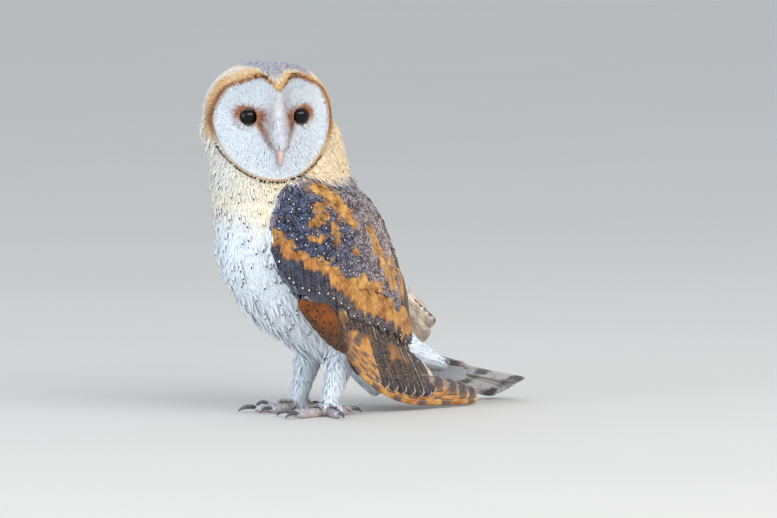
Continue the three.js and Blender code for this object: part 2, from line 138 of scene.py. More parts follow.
def through(rows):
    """A smooth line through rows of measures, read at any value of their first column."""
    table = np.array(sorted(rows), float)
    keys, values = table[:, 0], table[:, 1:]
    before = np.maximum(np.arange(len(keys)) - 1, 0)
    after = np.minimum(np.arange(len(keys)) + 1, len(keys) - 1)
    slopes = (values[after] - values[before]) / (keys[after] - keys[before])[:, None]

    def read(key):
        key = np.asarray(key, float)
        i = np.clip(np.searchsorted(keys, key) - 1, 0, len(keys) - 2)
        span = (keys[i + 1] - keys[i])[..., None]
        u = np.clip((key[..., None] - keys[i][..., None]) / span, 0, 1)
        start = (1 + 2 * u) * (1 - u) ** 2 * values[i] + u * (1 - u) ** 2 * span * slopes[i]
        end = u * u * (3 - 2 * u) * values[i + 1] + u * u * (u - 1) * span * slopes[i + 1]
        return np.moveaxis(start + end, -1, 0)

    return read


def unit(vectors):
    return vectors / np.maximum(np.linalg.norm(vectors, axis=-1, keepdims=True), 1e-9)


# %% [markdown]
# ## Finishes
# Shader sums are written as Python sums. A `Channel` is one socket, and adding or
# multiplying channels adds the nodes that do it. Everything else comes from `Finish.add`,
# which takes a node's type, its settings and what its sockets hold.

# %% A socket that can be worked with
class Channel:
    """One output socket of a finish, with the usual signs."""

    def __init__(self, finish, socket):
        self.finish = finish
        self.socket = socket

    def worked(self, operation, first, second=None):
        values = {0: first} if second is None else {0: first, 1: second}
        kinds = [v.socket.type for v in values.values() if isinstance(v, Channel)]
        if "VECTOR" not in kinds and "RGBA" not in kinds:
            return self.finish.add("ShaderNodeMath", {"operation": operation}, values)
        for key, value in values.items():
            if not isinstance(value, Channel) and np.ndim(value) == 0:
                values[key] = (value, value, value)
        return self.finish.add("ShaderNodeVectorMath", {"operation": operation}, values)

    def __add__(self, other):
        return self.worked("ADD", self, other)

    def __radd__(self, other):
        return self.worked("ADD", other, self)

    def __sub__(self, other):
        return self.worked("SUBTRACT", self, other)

    def __rsub__(self, other):
        return self.worked("SUBTRACT", other, self)

    def __mul__(self, other):
        return self.worked("MULTIPLY", self, other)

    def __rmul__(self, other):
        return self.worked("MULTIPLY", other, self)

    def __truediv__(self, other):
        return self.worked("DIVIDE", self, other)

    def __rtruediv__(self, other):
        return self.worked("DIVIDE", other, self)

    def __pow__(self, other):
        return self.worked("POWER", self, other)

    def __abs__(self):
        return self.worked("ABSOLUTE", self)

    def step(self, low, high):
        """0 below low, 1 above high, and a soft step between them."""
        values = {"Value": self, "From Min": low, "From Max": high}
        return self.finish.add("ShaderNodeMapRange", {"interpolation_type": "SMOOTHSTEP"}, values)

    def beside(self, output):
        """Another output of the same node."""
        return Channel(self.finish, self.socket.node.outputs[output])

    def fraction(self):
        return self.worked("FRACT", self)

    def least(self, other):
        return self.worked("MINIMUM", self, other)


# %% A finish and its nodes
class Finish:
    """A material and the short ways to add to it."""

    def __init__(self, name, **constants):
        self.material = bpy.data.materials.new(name)
        self.material.use_nodes = True
        self.nodes = self.material.node_tree.nodes
        self.links = self.material.node_tree.links
        self.surface = self.nodes["Principled BSDF"]
        for socket, value in constants.items():
            self.surface.inputs[socket.replace("_", " ")].default_value = value

    def add(self, kind, settings, values, output=0):
        node = self.nodes.new(kind)
        for name, value in settings.items():
            setattr(node, name, value)
        for name, value in values.items():
            socket = node.inputs[name]
            if isinstance(value, Channel):
                self.links.new(value.socket, socket)
            else:
                socket.default_value = value
        return Channel(self, node.outputs[output])

    def read(self, name, output="Fac"):
        return self.add("ShaderNodeAttribute", {"attribute_name": name}, {}, output)

    def place(self):
        return self.add("ShaderNodeTexCoord", {}, {}, "Object")

    def noise(self, vector, scale, detail=2.0, rough=0.5):
        values = {"Vector": vector, "Scale": scale, "Detail": detail, "Roughness": rough}
        return self.add("ShaderNodeTexNoise", {}, values)

    def split(self, vector):
        """The first part of a vector. The others are beside it."""
        return self.add("ShaderNodeSeparateXYZ", {}, {"Vector": vector})

    def mix(self, first, second, share):
        """The first colour where share is 0 and the second where it is 1."""
        return self.add("ShaderNodeMix", {"data_type": "RGBA"}, {0: share, 6: first, 7: second}, 2)

    def wear(self, **channels):
        for socket, channel in channels.items():
            self.links.new(channel.socket, self.surface.inputs[socket.replace("_", " ")])
        return self.material

    def bump(self, height, strength, distance):
        values = {"Height": height, "Strength": strength, "Distance": distance}
        return self.add("ShaderNodeBump", {}, values)


def tint(red, green, blue):
    """A colour given as a painter's 0 to 255 values, made ready for a shader."""
    shares = np.array([red, green, blue]) / 255
    linear = np.where(shares <= 0.04045, shares / 12.92, ((shares + 0.055) / 1.055) ** 2.4)
    return (*[float(v) for v in linear], 1.0)


# %% [markdown]
# ## The lie of the land
# A barn owl's markings follow its shape: a white heart-shaped face, a rim round it, a grey
# crown and back, golden sides and a white front. Each is a share from 0 to 1, worked out
# from where a point is. Skin and feathers use the same functions, so they carry the same
# markings.

# %% The face's outline
FACE_RADIUS, FACE_DROP = 45, 3


def on_head(points):
    """Sideways, up and forward of points in the head's frame."""
    return (points - HEAD_CENTRE) @ HEAD_AXES.T


def disc_radius(angle):
    """The heart shape: a round face with a notch above and full cheeks."""
    from_top = np.arctan2(np.cos(angle), np.sin(angle))
    notch = 1 + 5 * bell(from_top, math.radians(36)) + 14 * bell(from_top, math.radians(13))
    return FACE_RADIUS - notch + 1.5 * bell(np.abs(from_top) - math.pi / 2, math.radians(25))


def disc_place(points):
    """Angle round the face, distance from its middle as a share of its edge, and forward."""
    side, up, forward = on_head(points).T
    edge = np.hypot(side, up) / FACE_RADIUS
    for _ in range(5):
        lowered = up + FACE_DROP * edge
        angle = np.arctan2(lowered, side)
        edge = np.hypot(side, lowered) / disc_radius(angle)
    return angle, edge, forward


# %% The wing's own coordinates
WINGS = {
    "left": {"hand": 1, "wrist": (-72, 116), "lean": 47.5, "coverts": (6, 60, 200), "tip": (39.5, 105, 205)},
    "right": {"hand": -1, "wrist": (-63, 112), "lean": 57, "coverts": (4, 60, 200), "tip": (17.2, 60, 230)},
}
WING_LONG = 259


def layer_axis(wing, layer):
    """A layer's middle line: places along it, their Y and Z, and how far it leans there."""
    more, start, end = wing[layer]
    along = np.arange(WING_LONG + 1)
    lean = np.radians(wing["lean"] + more * soft_step(along, start, end))
    y = wing["wrist"][0] + np.concatenate([[0], np.cumsum(np.sin(lean))[:-1]])
    z = wing["wrist"][1] - np.concatenate([[0], np.cumsum(np.cos(lean))[:-1]])
    return along, y, z, lean


def lean_at(wing, layer, along):
    table, _, _, lean = layer_axis(wing, layer)
    return np.interp(np.clip(along, 0, WING_LONG), table, lean)


def on_wing(wing, layer, along, across):
    """Y and Z at a place given along and across a folded wing."""
    table, y, z, _ = layer_axis(wing, layer)
    before, after = np.minimum(along, 0), np.clip(along, 0, WING_LONG)
    a = lean_at(wing, layer, along)
    return (
        np.interp(after, table, y) + before * np.sin(a) + across * np.cos(a),
        np.interp(after, table, z) - before * np.cos(a) + across * np.sin(a),
    )


def wing_place(wing, points):
    """Along and across the covert layer, for points anywhere on a wing."""
    lean = math.radians(wing["lean"])
    y, z = points[:, 1] - wing["wrist"][0], points[:, 2] - wing["wrist"][1]
    along = y * math.sin(lean) - z * math.cos(lean)
    across = y * math.cos(lean) + z * math.sin(lean)
    for _ in range(6):
        wy, wz = on_wing(wing, "coverts", along, across)
        y, z = points[:, 1] - wy, points[:, 2] - wz
        a = lean_at(wing, "coverts", along)
        along = along + y * np.sin(a) - z * np.cos(a)
        across = across + y * np.cos(a) + z * np.sin(a)
    return along, across


# %% Where the wing's rows of coverts end
COVERT_END = np.array([
    (-4, 17), (0, 13), (8, 8.5), (16, 7), (24, 6.5), (34, 7), (45, 14), (55, 18.5), (64, 20.5), (73, 21.5),
    (81, 22.5), (89, 25), (97, 28.5), (110, 33), (122, 37), (133, 41), (148, 44), (158, 50),
])
LESSER_END = np.array([
    (-22, 24), (-10, 26), (12, 28), (34, 35), (46, 39), (64, 45), (73, 50), (88, 56), (98, 56), (111, 54),
    (128, 56), (145, 62),
])


def covert_end(along):
    return np.interp(along, *COVERT_END.T)


def lesser_end(along):
    return np.interp(along, *LESSER_END.T)


print("greater coverts end", covert_end(80), "mm across, lesser ones", lesser_end(80), "mm, at 80 mm along")


# %% [markdown]
# ## The skin
# One skin covers the flesh from the crown to the toes, so that no seam shows between the
# solids. Copies of them are swollen a little until they meet, joined, and remade as one
# closed surface by a voxel remesh. Then the skin is smoothed, and sunk by the depth of the
# coat, so that the feathers reach the solid's outline and no further.

# %% Copies of the solids, joined
FLESH = ["head", "neck", "trunk", "tail"] + [
    f"{part}_{hand}" for part in ("wing", "thigh", "tarsus", "foot") for hand in ("left", "right")
]
VOXEL, SWELL, WELD = 1.8, 0.35, 1e-6


def joined_solids(nodes):
    """Solids in one bmesh, with their loose triangles joined."""
    shape = bmesh.new()
    for node in nodes:
        shape.from_mesh(NODES[node].data)
    bmesh.ops.remove_doubles(shape, verts=shape.verts, dist=WELD)
    return shape


def mesh_arrays(mesh):
    points = np.empty(len(mesh.vertices) * 3)
    mesh.vertices.foreach_get("co", points)
    mesh.calc_loop_triangles()
    triangles = np.empty(len(mesh.loop_triangles) * 3, int)
    mesh.loop_triangles.foreach_get("vertices", triangles)
    return points.reshape(-1, 3), triangles.reshape(-1, 3)


TAIL_COVERT_END = 128.0
whole = bmesh.new()
owner_points, owner_triangles, owner_names = [], [], []
for node in FLESH:
    part = joined_solids([node])
    part.normal_update()
    for vert in part.verts:
        vert.co = vert.co + vert.normal * SWELL * MM
    if node == "tail":  # beyond its coverts the tail is long feathers only
        cut = Vector(to_metres(np.array([0.0, TAIL_COVERT_END - 10, 40.0])))
        everything = part.verts[:] + part.edges[:] + part.faces[:]
        bmesh.ops.bisect_plane(part, geom=everything, plane_co=cut, plane_no=(0, 1, 0), clear_outer=True)
        bmesh.ops.holes_fill(part, edges=[e for e in part.edges if e.is_boundary])
    mesh = bpy.data.meshes.new(node + "_copy")
    part.to_mesh(mesh)
    part.free()
    whole.from_mesh(mesh)
    points, triangles = mesh_arrays(mesh)
    owner_triangles.append(triangles + sum(len(p) for p in owner_points))
    owner_points.append(points)
    owner_names += [node.split("_")[0]] * len(triangles)
    bpy.data.meshes.remove(mesh)
skin_mesh = bpy.data.meshes.new("owl_skin")
whole.to_mesh(skin_mesh)
whole.free()
skin = placed("owl_skin", skin_mesh)
print("joined flesh:", len(skin_mesh.polygons), "triangles")


# %% One closed surface
def apply_modifiers(piece):
    """Replaces a piece's mesh by what its modifiers make of it."""
    bpy.context.view_layer.update()
    finished = piece.evaluated_get(bpy.context.evaluated_depsgraph_get())
    made = bpy.data.meshes.new_from_object(finished)
    piece.modifiers.clear()
    piece.data = made


remesh = skin.modifiers.new("one_surface", "REMESH")
remesh.mode = "VOXEL"
remesh.voxel_size = VOXEL * MM
apply_modifiers(skin)
shape = bmesh.new()
shape.from_mesh(skin.data)
bmesh.ops.triangulate(shape, faces=shape.faces)
# Small bubbles stay inside, where solids nearly touch. Only the largest island is the skin.
unseen = set(shape.verts)
islands = []
while unseen:
    island, edge = set(), [unseen.pop()]
    while edge:
        vert = edge.pop()
        island.add(vert)
        for other in (e.other_vert(vert) for e in vert.link_edges):
            if other in unseen:
                unseen.remove(other)
                edge.append(other)
    islands.append(island)
islands.sort(key=len)
for island in islands[:-1]:
    bmesh.ops.delete(shape, geom=list(island), context="VERTS")
shape.to_mesh(skin.data)
shape.free()
print("skin:", len(skin.data.polygons), "triangles;", len(islands) - 1, "hidden bubbles taken out")


# %% A surface that feathers can stand on
class Surface:
    """A triangle mesh in the owl's millimetres, with what feathers need to stand on it."""

    def __init__(self, points, triangles):
        self.points, self.triangles = points, triangles
        pairs = np.concatenate([triangles[:, [0, 1]], triangles[:, [1, 2]], triangles[:, [2, 0]]])
        self.pairs = np.concatenate([pairs, pairs[:, ::-1]])
        self.degree = np.bincount(self.pairs[:, 0], minlength=len(points))[:, None]
        self.renew()

    def renew(self):
        a, b, c = (self.points[self.triangles[:, i]] for i in range(3))
        face = np.cross(b - a, c - a)
        self.area = np.linalg.norm(face, axis=1) / 2
        normals = np.zeros_like(self.points)
        for i in range(3):
            np.add.at(normals, self.triangles[:, i], face)
        self.normals = unit(normals)
        self.tree = BVHTree.FromPolygons(self.points.tolist(), self.triangles.tolist())

    def neighbours(self, values):
        total = np.zeros((len(values), values.shape[1]))
        for column in range(values.shape[1]):
            total[:, column] = np.bincount(self.pairs[:, 0], values[self.pairs[:, 1], column], len(values))
        return total / self.degree

    def smooth(self, values, times, share=0.5):
        for _ in range(times):
            values = values + (self.neighbours(values) - values) * share
        return values

    def corners(self, index, places):
        """How much each corner of its triangle counts at each place."""
        a, b, c = (self.points[self.triangles[index, i]] for i in range(3))
        ab, ac, ap = b - a, c - a, places - a
        d00, d01, d11 = ((x * y).sum(1) for x, y in ((ab, ab), (ab, ac), (ac, ac)))
        d20, d21 = (ap * ab).sum(1), (ap * ac).sum(1)
        under = np.maximum(d00 * d11 - d01 * d01, 1e-12)
        v, w = (d11 * d20 - d01 * d21) / under, (d00 * d21 - d01 * d20) / under
        return np.clip(np.stack([1 - v - w, v, w], 1), 0, 1)

    def at(self, index, weights, values):
        return sum(values[self.triangles[index, i]] * weights[:, i : i + 1] for i in range(3))

    def nearest(self, places):
        """The surface's nearest points to these places: place, normal, triangle and weights."""
        found = [self.tree.find_nearest(p) for p in places.tolist()]
        spots = np.array([f[0] for f in found])
        index = np.array([f[2] for f in found])
        weights = self.corners(index, spots)
        return spots, unit(self.at(index, weights, self.normals)), index, weights


# %% Which part of the owl each place belongs to
points, triangles = mesh_arrays(skin.data)
hide = Surface(to_millimetres(points), triangles)
owners = BVHTree.FromPolygons(
    np.concatenate(owner_points).tolist(), np.concatenate(owner_triangles).tolist()
)
PARTS = ["head", "neck", "trunk", "tail", "wing", "thigh", "tarsus", "foot"]
nearest_part = [PARTS.index(owner_names[owners.find_nearest(p)[2]]) for p in points.tolist()]
share_of = hide.smooth(np.eye(len(PARTS))[nearest_part], 5)
PART = {name: share_of[:, i] for i, name in enumerate(PARTS)}


def on_one_wing(wing):
    """The share of each of the skin's points in this wing."""
    return PART["wing"] * (hide.points[:, 0] * wing["hand"] > 0)


print("skin points by part:", {name: int((share > 0.5).sum()) for name, share in PART.items()})

# %% Sink the skin by the depth of its coat
angle, edge, forward = disc_place(hide.points)
on_face = soft_step(edge, 1.04, 0.97) * soft_step(forward, 2, 8) * PART["head"]
COAT_DEPTH = {
    "head": 3.6, "neck": 4.2, "trunk": 4.4, "tail": 2.6, "wing": 2.4, "thigh": 4.2, "tarsus": 1.8,
    "foot": 0.3,
}
FACE_DEPTH, SHEET_DEPTH = 2.3, 4.6
keep = np.clip(on_face + PART["foot"] * 1.5, 0, 1)[:, None]
hide.points = hide.points + (hide.smooth(hide.points, 6) - hide.points) * (1 - keep)
hide.points = hide.smooth(hide.points, 1)
hide.renew()
depth = sum(PART[name] * COAT_DEPTH[name] for name in PARTS)
depth = blend(depth, FACE_DEPTH, on_face)
depth = hide.smooth(depth[:, None], 6)[:, 0]
hide.points = hide.points - hide.smooth(hide.normals, 4) * depth[:, None]
hide.points = hide.points + (hide.smooth(hide.points, 2) - hide.points) * (1 - keep)
for wing in WINGS.values():
    along, across = wing_place(wing, hide.points)
    under_sheets = on_one_wing(wing) * soft_step(across - covert_end(along), 9, -1)
    hide.points[:, 0] -= wing["hand"] * SHEET_DEPTH * under_sheets
hide.renew()
skin.data.vertices.foreach_set("co", to_metres(hide.points).ravel())
print("coat depth from", depth.min().round(2), "to", depth.max().round(2), "mm")

# %% [markdown]
# The skin is unwrapped by its own shape. Every feather later takes a small patch of that
# unwrap, round the place where its root stands.

# %% Unwrap the skin
bpy.context.view_layer.objects.active = skin
skin.select_set(True)
bpy.ops.object.mode_set(mode="EDIT")
bpy.ops.mesh.select_all(action="SELECT")
bpy.ops.uv.smart_project(angle_limit=math.radians(66), island_margin=0.002)
bpy.ops.object.mode_set(mode="OBJECT")
skin.data.uv_layers[0].name = "OFBake"
skin.data.shade_smooth()
corner_uv = np.empty(len(skin.data.loops) * 2)
skin.data.uv_layers[0].data.foreach_get("uv", corner_uv)
corner_uv = corner_uv.reshape(-1, 3, 2)
print("skin unwrapped:", len(corner_uv), "triangles")


# %% [markdown]
# ## Markings
# Each marking is a share at each place. The wing's golden patches are short thick strokes,
# given by their two ends and half width in the wing's own coordinates.

# %% Golden strokes on the wing
GOLDEN = [
    (-17, 71, -1, 76, 5), (-1, 76, 25, 74, 6), (12, 78, 33, 72, 5), (1, 61, 9, 54, 4), (7, 48, 10, 60, 3.5),
    (14, 40, 18, 45.5, 3), (21, 57.5, 31, 52, 3.5), (47.5, 57, 50, 58, 2.5), (-21, 34, -18, 31, 2.5),
    (-12, 21, 0, 21.5, 5), (0, 21.5, 12, 23.4, 4), (12, 23.4, 23, 25, 4), (23, 25, 34, 30.5, 4.5),
    (34, 30.5, 46, 34.6, 4.5), (46, 34.6, 55, 34.4, 3.5), (60, 38, 73, 45, 4), (73, 45, 88, 51, 5.5),
    (88, 51, 98, 48.6, 5), (97, 40, 100, 46, 4), (98, 44, 111, 46.4, 5), (53, 80, 86, 68.6, 3.5),
    (86, 80, 102, 66, 3.5), (86, 68.6, 102.5, 66, 4), (104, 81, 118, 67, 3.5), (109, 51.6, 121, 47.4, 4),
    (16, -1, 19, 0, 2.5),
]


def from_line(x, y, start, run):
    """Distance from a line, and the share of the line at its nearest place."""
    x, y = x - start[0], y - start[1]
    share = np.clip((x * run[0] + y * run[1]) / (run[0] ** 2 + run[1] ** 2), 0, 1)
    return np.hypot(x - share * run[0], y - share * run[1]), share


def golden_wing(along, across):
    """1 on a stroke's middle line, 0.5 at its edge, less outside."""
    strokes = []
    for a0, c0, a1, c1, half in GOLDEN:
        gap, _ = from_line(along, across, (a0, c0), (a1 - a0, c1 - c0))
        strokes.append(1 - soft_step(gap, half * 0.35, half * 1.65))
    return np.max(strokes, axis=0)


# %% Slate at the wrist, lilac towards the back
def slate_wing(along, across):
    return np.clip(1.05 - 0.6 * soft_step(along, 18, 80) - 0.6 * soft_step(across, 56, 80), 0, 1)


# %% Rust round the eyes
STREAK_START, STREAK_RUN = (-6.5, -4), (-7.5, -19)


def rust_round_eyes(side, up):
    """Longest above each eye's outer corner, and in a streak from its inner corner down the
    bill."""
    rust = np.zeros(np.shape(side))
    for hand in (-1, 1):
        out = side * hand - EYE_SIDE
        gap = np.hypot(out * 0.9, up)
        turn = np.arctan2(up, out)
        brow = bell(turn - math.radians(35), math.radians(42))
        inner = bell(np.abs(turn) - math.pi, math.radians(60))
        below = bell(turn + math.radians(75), math.radians(50))
        reach = 8.7 + 3.4 * brow + 2.0 * inner - 1.6 * below
        rays = 0.8 * np.sin(turn * 17 + 1) + 0.6 * np.sin(turn * 31)
        ring = soft_step(gap, reach + 3.2 + rays, reach - 3.4) * (0.92 - 0.45 * below)
        line, share = from_line(out, up, STREAK_START, STREAK_RUN)
        broad = 6.6 if hand > 0 else 5.2
        streak = soft_step(line, broad - 2.6 * share, 0.4) * (0.95 - 0.35 * share)
        rust = np.maximum(rust, np.maximum(ring, streak))
    return rust


# %% All the markings of a place
MARKS = ["cream", "gold", "grey", "slate", "rust", "ink", "bare"]


def markings(points, part):
    """The share of each colour at these places, by name. part gives each body part's share."""
    side, up, forward = on_head(points).T
    angle, edge, _ = disc_place(points)
    from_top = np.abs(np.arctan2(np.cos(angle), np.sin(angle)))
    head = np.clip(part["head"] * 1.4, 0, 1)
    wings = soft_step(part["wing"], 0.3, 0.6)
    ahead = soft_step(forward, -6, 6) * head
    over = edge - 1 + 0.12 * soft_step(from_top, math.radians(60), math.radians(34))
    face = soft_step(over, 0.02, -0.02) * soft_step(forward, 0, 8) * head
    upper = soft_step(from_top, math.radians(116), math.radians(92))
    x, y, z = points.T
    made = {}
    # The crown and nape are grey, the sides of the head cream to gold.
    far = over + 0.08 * soft_step(side, 3, 16) - 0.12 * bell(side - 4, 6)
    crown = soft_step(far, 0.2, 0.27) * soft_step(np.abs(side - 4), 32, 22) * soft_step(up, 24, 34)
    nape = soft_step(forward, -12, -30) * soft_step(np.abs(side), 32, 18) * soft_step(up, -30, 5)
    head_grey = np.clip(crown + nape, 0, 1) * (1 - face) * head
    back_share = soft_step(y, -25, 22) * soft_step(z, 30, 70)
    mantle = (part["trunk"] + part["neck"] + part["tail"]) * back_share * soft_step(z, 50, 82)
    # Painted shade: the face is greyed a little towards the owl's right side, as if that side were in
    # shadow.
    painted_cheek_shade = 0.12 * face * soft_step(side, 8, -30)
    made["grey"] = np.clip(head_grey + mantle + wings + painted_cheek_shade, 0, 1)
    throat = soft_step(z + 24 * soft_step(np.abs(x), 18, 40), 132, 178)
    left_pale = blend(0.42, 1.0, soft_step(side, -42, 5))
    cream = np.clip(np.maximum(head * left_pale, throat * (part["trunk"] + part["neck"])), 0, 1)
    made["cream"] = cream * (1 - face) * (1 - wings)
    # A golden band runs over the top of the face, and thins out down its sides.
    band = soft_step(over, 0.0, 0.03) * soft_step(far, 0.27, 0.13) * upper
    tan_line = bell(over - 0.02, 0.022) * (1 - upper) * 0.7
    warm_side = (0.06 + 0.3 * soft_step(side, 0, 44) + 0.15 * soft_step(forward, 0, -30)) * head
    neck_side = (0.05 + 0.25 * soft_step(side, 0, 40)) * part["neck"]
    made["gold"] = np.clip((band + tan_line) * ahead + warm_side + neck_side, 0, 1) * (1 - face)
    wing_gold, wing_slate = np.zeros((2, len(points)))
    for wing in WINGS.values():
        own = wings * (x * wing["hand"] > 0)
        along, across = wing_place(wing, points)
        wing_gold += own * golden_wing(along, across)
        wing_slate += own * slate_wing(along, across)
    made["slate"] = np.clip(wing_slate, 0, 1)
    made["gold"] = np.clip(made["gold"] + wing_gold, 0, 1)
    # A brown line edges the face under the golden band. The ruff adds the black one below.
    bridge = bell(side, 8.0) * soft_step(up, 0, 12) * soft_step(up, 34, 18) * 0.22
    bridge = bridge + bell(np.abs(side) - 8, 4.5) * soft_step(up, -14, -6) * soft_step(up, 12, 4) * 0.2
    brown_line = bell(over - 0.035, 0.034) * upper * ahead
    made["rust"] = np.clip((rust_round_eyes(side, up) + bridge) * face + brown_line, 0, 1)
    made["ink"] = np.zeros(len(points))
    made["bare"] = np.clip(part["foot"], 0, 1)
    return made


skin_marks = markings(hide.points, PART)
print("markings:", {name: round(float(skin_marks[name].mean()), 3) for name in MARKS})


# %% [markdown]
# ## How feathers lie
# Feathers point away from the eyes on the face, backwards over the head, down the breast,
# along the wings and down the legs. The direction is worked out at each point of the skin
# and smoothed, so that one tract flows into the next.

# %% The lie of the coat
def wing_ways(wing, along, across):
    """Which way feathers point at a place on a wing."""
    a = lean_at(wing, "coverts", along)
    turn = 50 - 24 * soft_step(along, -10, 50) - 10 * soft_step(along, 50, 110)
    turn = np.radians(turn * (1 - 0.85 * soft_step(across, 45, 80)))
    return np.stack([np.zeros(len(a)), np.sin(a - turn), -np.cos(a - turn)], 1)


side, up, forward = on_head(hide.points).T
eye_hand = np.where(side > 0, 1, -1)
ray = unit(np.stack([side - eye_hand * EYE_SIDE, up, np.zeros(len(side))], 1))
# Between the eyes the bristles turn down, along the ridge over the bill.
ridge = bell(side, 6.5) * soft_step(up, 16, 2)
ray = unit(ray * (1 - ridge[:, None]) + np.array([0, -1.0, 0]) * ridge[:, None])
ray[:, 0] += 0.6 * ridge * np.sign(side) * soft_step(np.abs(side), 0, 3)
face_ways = unit(ray) @ HEAD_AXES
head_drop = soft_step(up, 34, 0)[:, None]
head_ways = -FORWARD * (1 - 0.55 * head_drop) - UP * (0.1 + 1.25 * head_drop)
body_ways = np.array([0, 0.42, -1.0])
ways = np.zeros_like(hide.points)
ways += face_ways * (on_face * 6)[:, None]
ways += head_ways * (PART["head"] * (1 - on_face))[:, None]
ways += body_ways * (PART["trunk"] + PART["neck"])[:, None]
ways += np.array([0, 1.0, -0.4]) * PART["tail"][:, None]
ways += np.array([0, 0.12, -1.0]) * (PART["thigh"] + PART["tarsus"])[:, None]
for wing in WINGS.values():
    ways += wing_ways(wing, *wing_place(wing, hide.points)) * on_one_wing(wing)[:, None]
ANKLE = np.array([[21, 0, 6]])
foot_ways = hide.points - np.where(hide.points[:, :1] > 0, ANKLE, ANKLE * [-1, 1, 1])
ways += unit(foot_ways * [1, 1, 0.2]) * PART["foot"][:, None]


def along_surface(directions, normals):
    return unit(directions - normals * (directions * normals).sum(1)[:, None])


ways = along_surface(ways, hide.normals)
for _ in range(6):
    ways = along_surface(hide.smooth(ways, 1), hide.normals)
print("lie of the coat set at", len(ways), "points")


# %% [markdown]
# ## Feathers from arrays
# A small feather is a closed sliver: a few rings round a curved spine, and a tip. Rings of
# three make narrow tufts of down, rings of six make rounded vanes. Thousands of them are
# worked out together as arrays and become one mesh.

# %% Roots on the skin
class Roots:
    """Where a tract's feathers stand, and all that the skin says there."""

    def __init__(self, spots, index, weights, seed):
        self.spots, self.index, self.weights = spots, index, weights
        self.count = len(spots)
        self.rng = np.random.default_rng(seed)
        self.normals = unit(hide.at(index, weights, hide.normals))
        self.ways = along_surface(hide.at(index, weights, ways), self.normals)
        self.uv = (corner_uv[index] * weights[:, :, None]).sum(1)
        self.part = {name: hide.at(index, weights, share[:, None])[:, 0] for name, share in PART.items()}
        self.seed = self.rng.random(self.count)

    def random(self, low, high):
        return self.rng.uniform(low, high, self.count)


TRIES, CELL = 7, 1.18


def scattered(weight, spacing, seed):
    """Roots spread evenly over the skin by weight, about spacing apart. Many are tried, and
    the first in each cell of a grid is kept."""
    rng = np.random.default_rng(seed)
    chance = hide.area * np.clip(weight[hide.triangles].mean(1), 0, 1)
    tries = int(TRIES * chance.sum() / spacing**2)
    index = rng.choice(len(chance), tries, p=chance / chance.sum())
    u, v = rng.random((2, tries))
    u, v = np.where(u + v > 1, 1 - u, u), np.where(u + v > 1, 1 - v, v)
    weights = np.stack([1 - u - v, u, v], 1)
    spots = hide.at(index, weights, hide.points)
    cells = np.floor(spots / (spacing * CELL)).astype(int)
    _, first = np.unique(cells, axis=0, return_index=True)
    first = np.sort(first)
    return Roots(spots[first], index[first], weights[first], seed + 1)


def rooted(places, seed):
    """Roots on the skin nearest to these places."""
    spots, _, index, weights = hide.nearest(places)
    return Roots(spots, index, weights, seed)


# %% Follow the skin from each root
def follow(roots, long, shares, turn=0.0):
    """Each feather's spine on the skin: a place and a normal at each share of its length."""
    spots, normals = roots.spots, roots.normals
    side = np.cross(roots.ways, normals)
    heading = along_surface(roots.ways + side * np.asarray(turn)[..., None], normals)
    places, stands = [spots], [normals]
    for before, after in zip(shares, shares[1:]):
        spots, normals, _, _ = hide.nearest(spots + heading * (long * (after - before))[:, None])
        heading = along_surface(heading, normals)
        places.append(spots)
        stands.append(normals)
    return np.stack(places, 1), np.stack(stands, 1)


# %% Make one mesh of many closed rings
FLOOR_GAP = 0.3


def join_rings(name, body, tips, values, uv, finish, stands=None):
    """One piece of many feathers, each a row of rings that ends in a tip.

    body is feathers by rings by places round a ring, and values and uv give each of a
    feather's points, the tip last. stands are normals that the points are shaded by."""
    count, rings, around = body.shape[:3]
    points = np.concatenate([body.reshape(count, -1, 3), tips[:, None]], 1)
    points[..., 2] = np.maximum(points[..., 2], FLOOR_GAP)
    each = rings * around + 1
    k, m = np.meshgrid(np.arange(rings - 1), np.arange(around), indexing="ij")
    after = (m + 1) % around
    rows = [k * around + m, k * around + after, (k + 1) * around + after, (k + 1) * around + m]
    quads = np.stack(rows, -1)
    m = np.arange(around)
    last = (rings - 1) * around
    ends = np.stack([last + m, last + (m + 1) % around, np.full(around, each - 1)], 1)
    one = np.concatenate([quads.ravel(), ends.ravel(), m[::-1]])
    sizes = np.concatenate([np.full(quads.size // 4, 4), np.full(around, 3), [around]])
    loops = (one[None] + np.arange(count)[:, None] * each).ravel()
    totals = np.tile(sizes, count)
    mesh = bpy.data.meshes.new(name)
    mesh.vertices.add(count * each)
    mesh.vertices.foreach_set("co", to_metres(points.reshape(-1, 3)).ravel())
    mesh.loops.add(len(loops))
    mesh.loops.foreach_set("vertex_index", loops)
    mesh.polygons.add(len(totals))
    mesh.polygons.foreach_set("loop_start", np.concatenate([[0], np.cumsum(totals)[:-1]]))
    mesh.polygons.foreach_set("loop_total", totals)
    mesh.update()
    mesh.shade_smooth()
    if stands is not None:
        mesh.normals_split_custom_set_from_vertices(stands.reshape(-1, 3).tolist())
    layer = mesh.uv_layers.new(name="OFBake")
    layer.data.foreach_set("uv", uv.reshape(-1, 2)[loops].ravel())
    for key, value in values.items():
        kind, field = ("FLOAT_VECTOR", "vector") if value.ndim == 3 else ("FLOAT", "value")
        marks = mesh.attributes.new(key, kind, "POINT")
        marks.data.foreach_set(field, value.ravel().astype(np.float32))
    mesh.materials.append(finish)
    piece = placed(name, mesh)
    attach(piece, "root")
    print(f"{name}: {count} feathers, {int((totals - 2).sum())} triangles")
    return piece


# %% Make one mesh of many small feathers
TUFT_RING = [(-1, 0), (0, 1), (1, 0)]
VANE_RING = [(-1, 0), (-0.55, 0.8), (0, 1), (0.55, 0.8), (1, 0), (0, -0.6)]
PATCH = 0.003
ROUND_LOOK, LIFTED_LOOK = 0.4, 0.3
SEED_SPREAD = 60


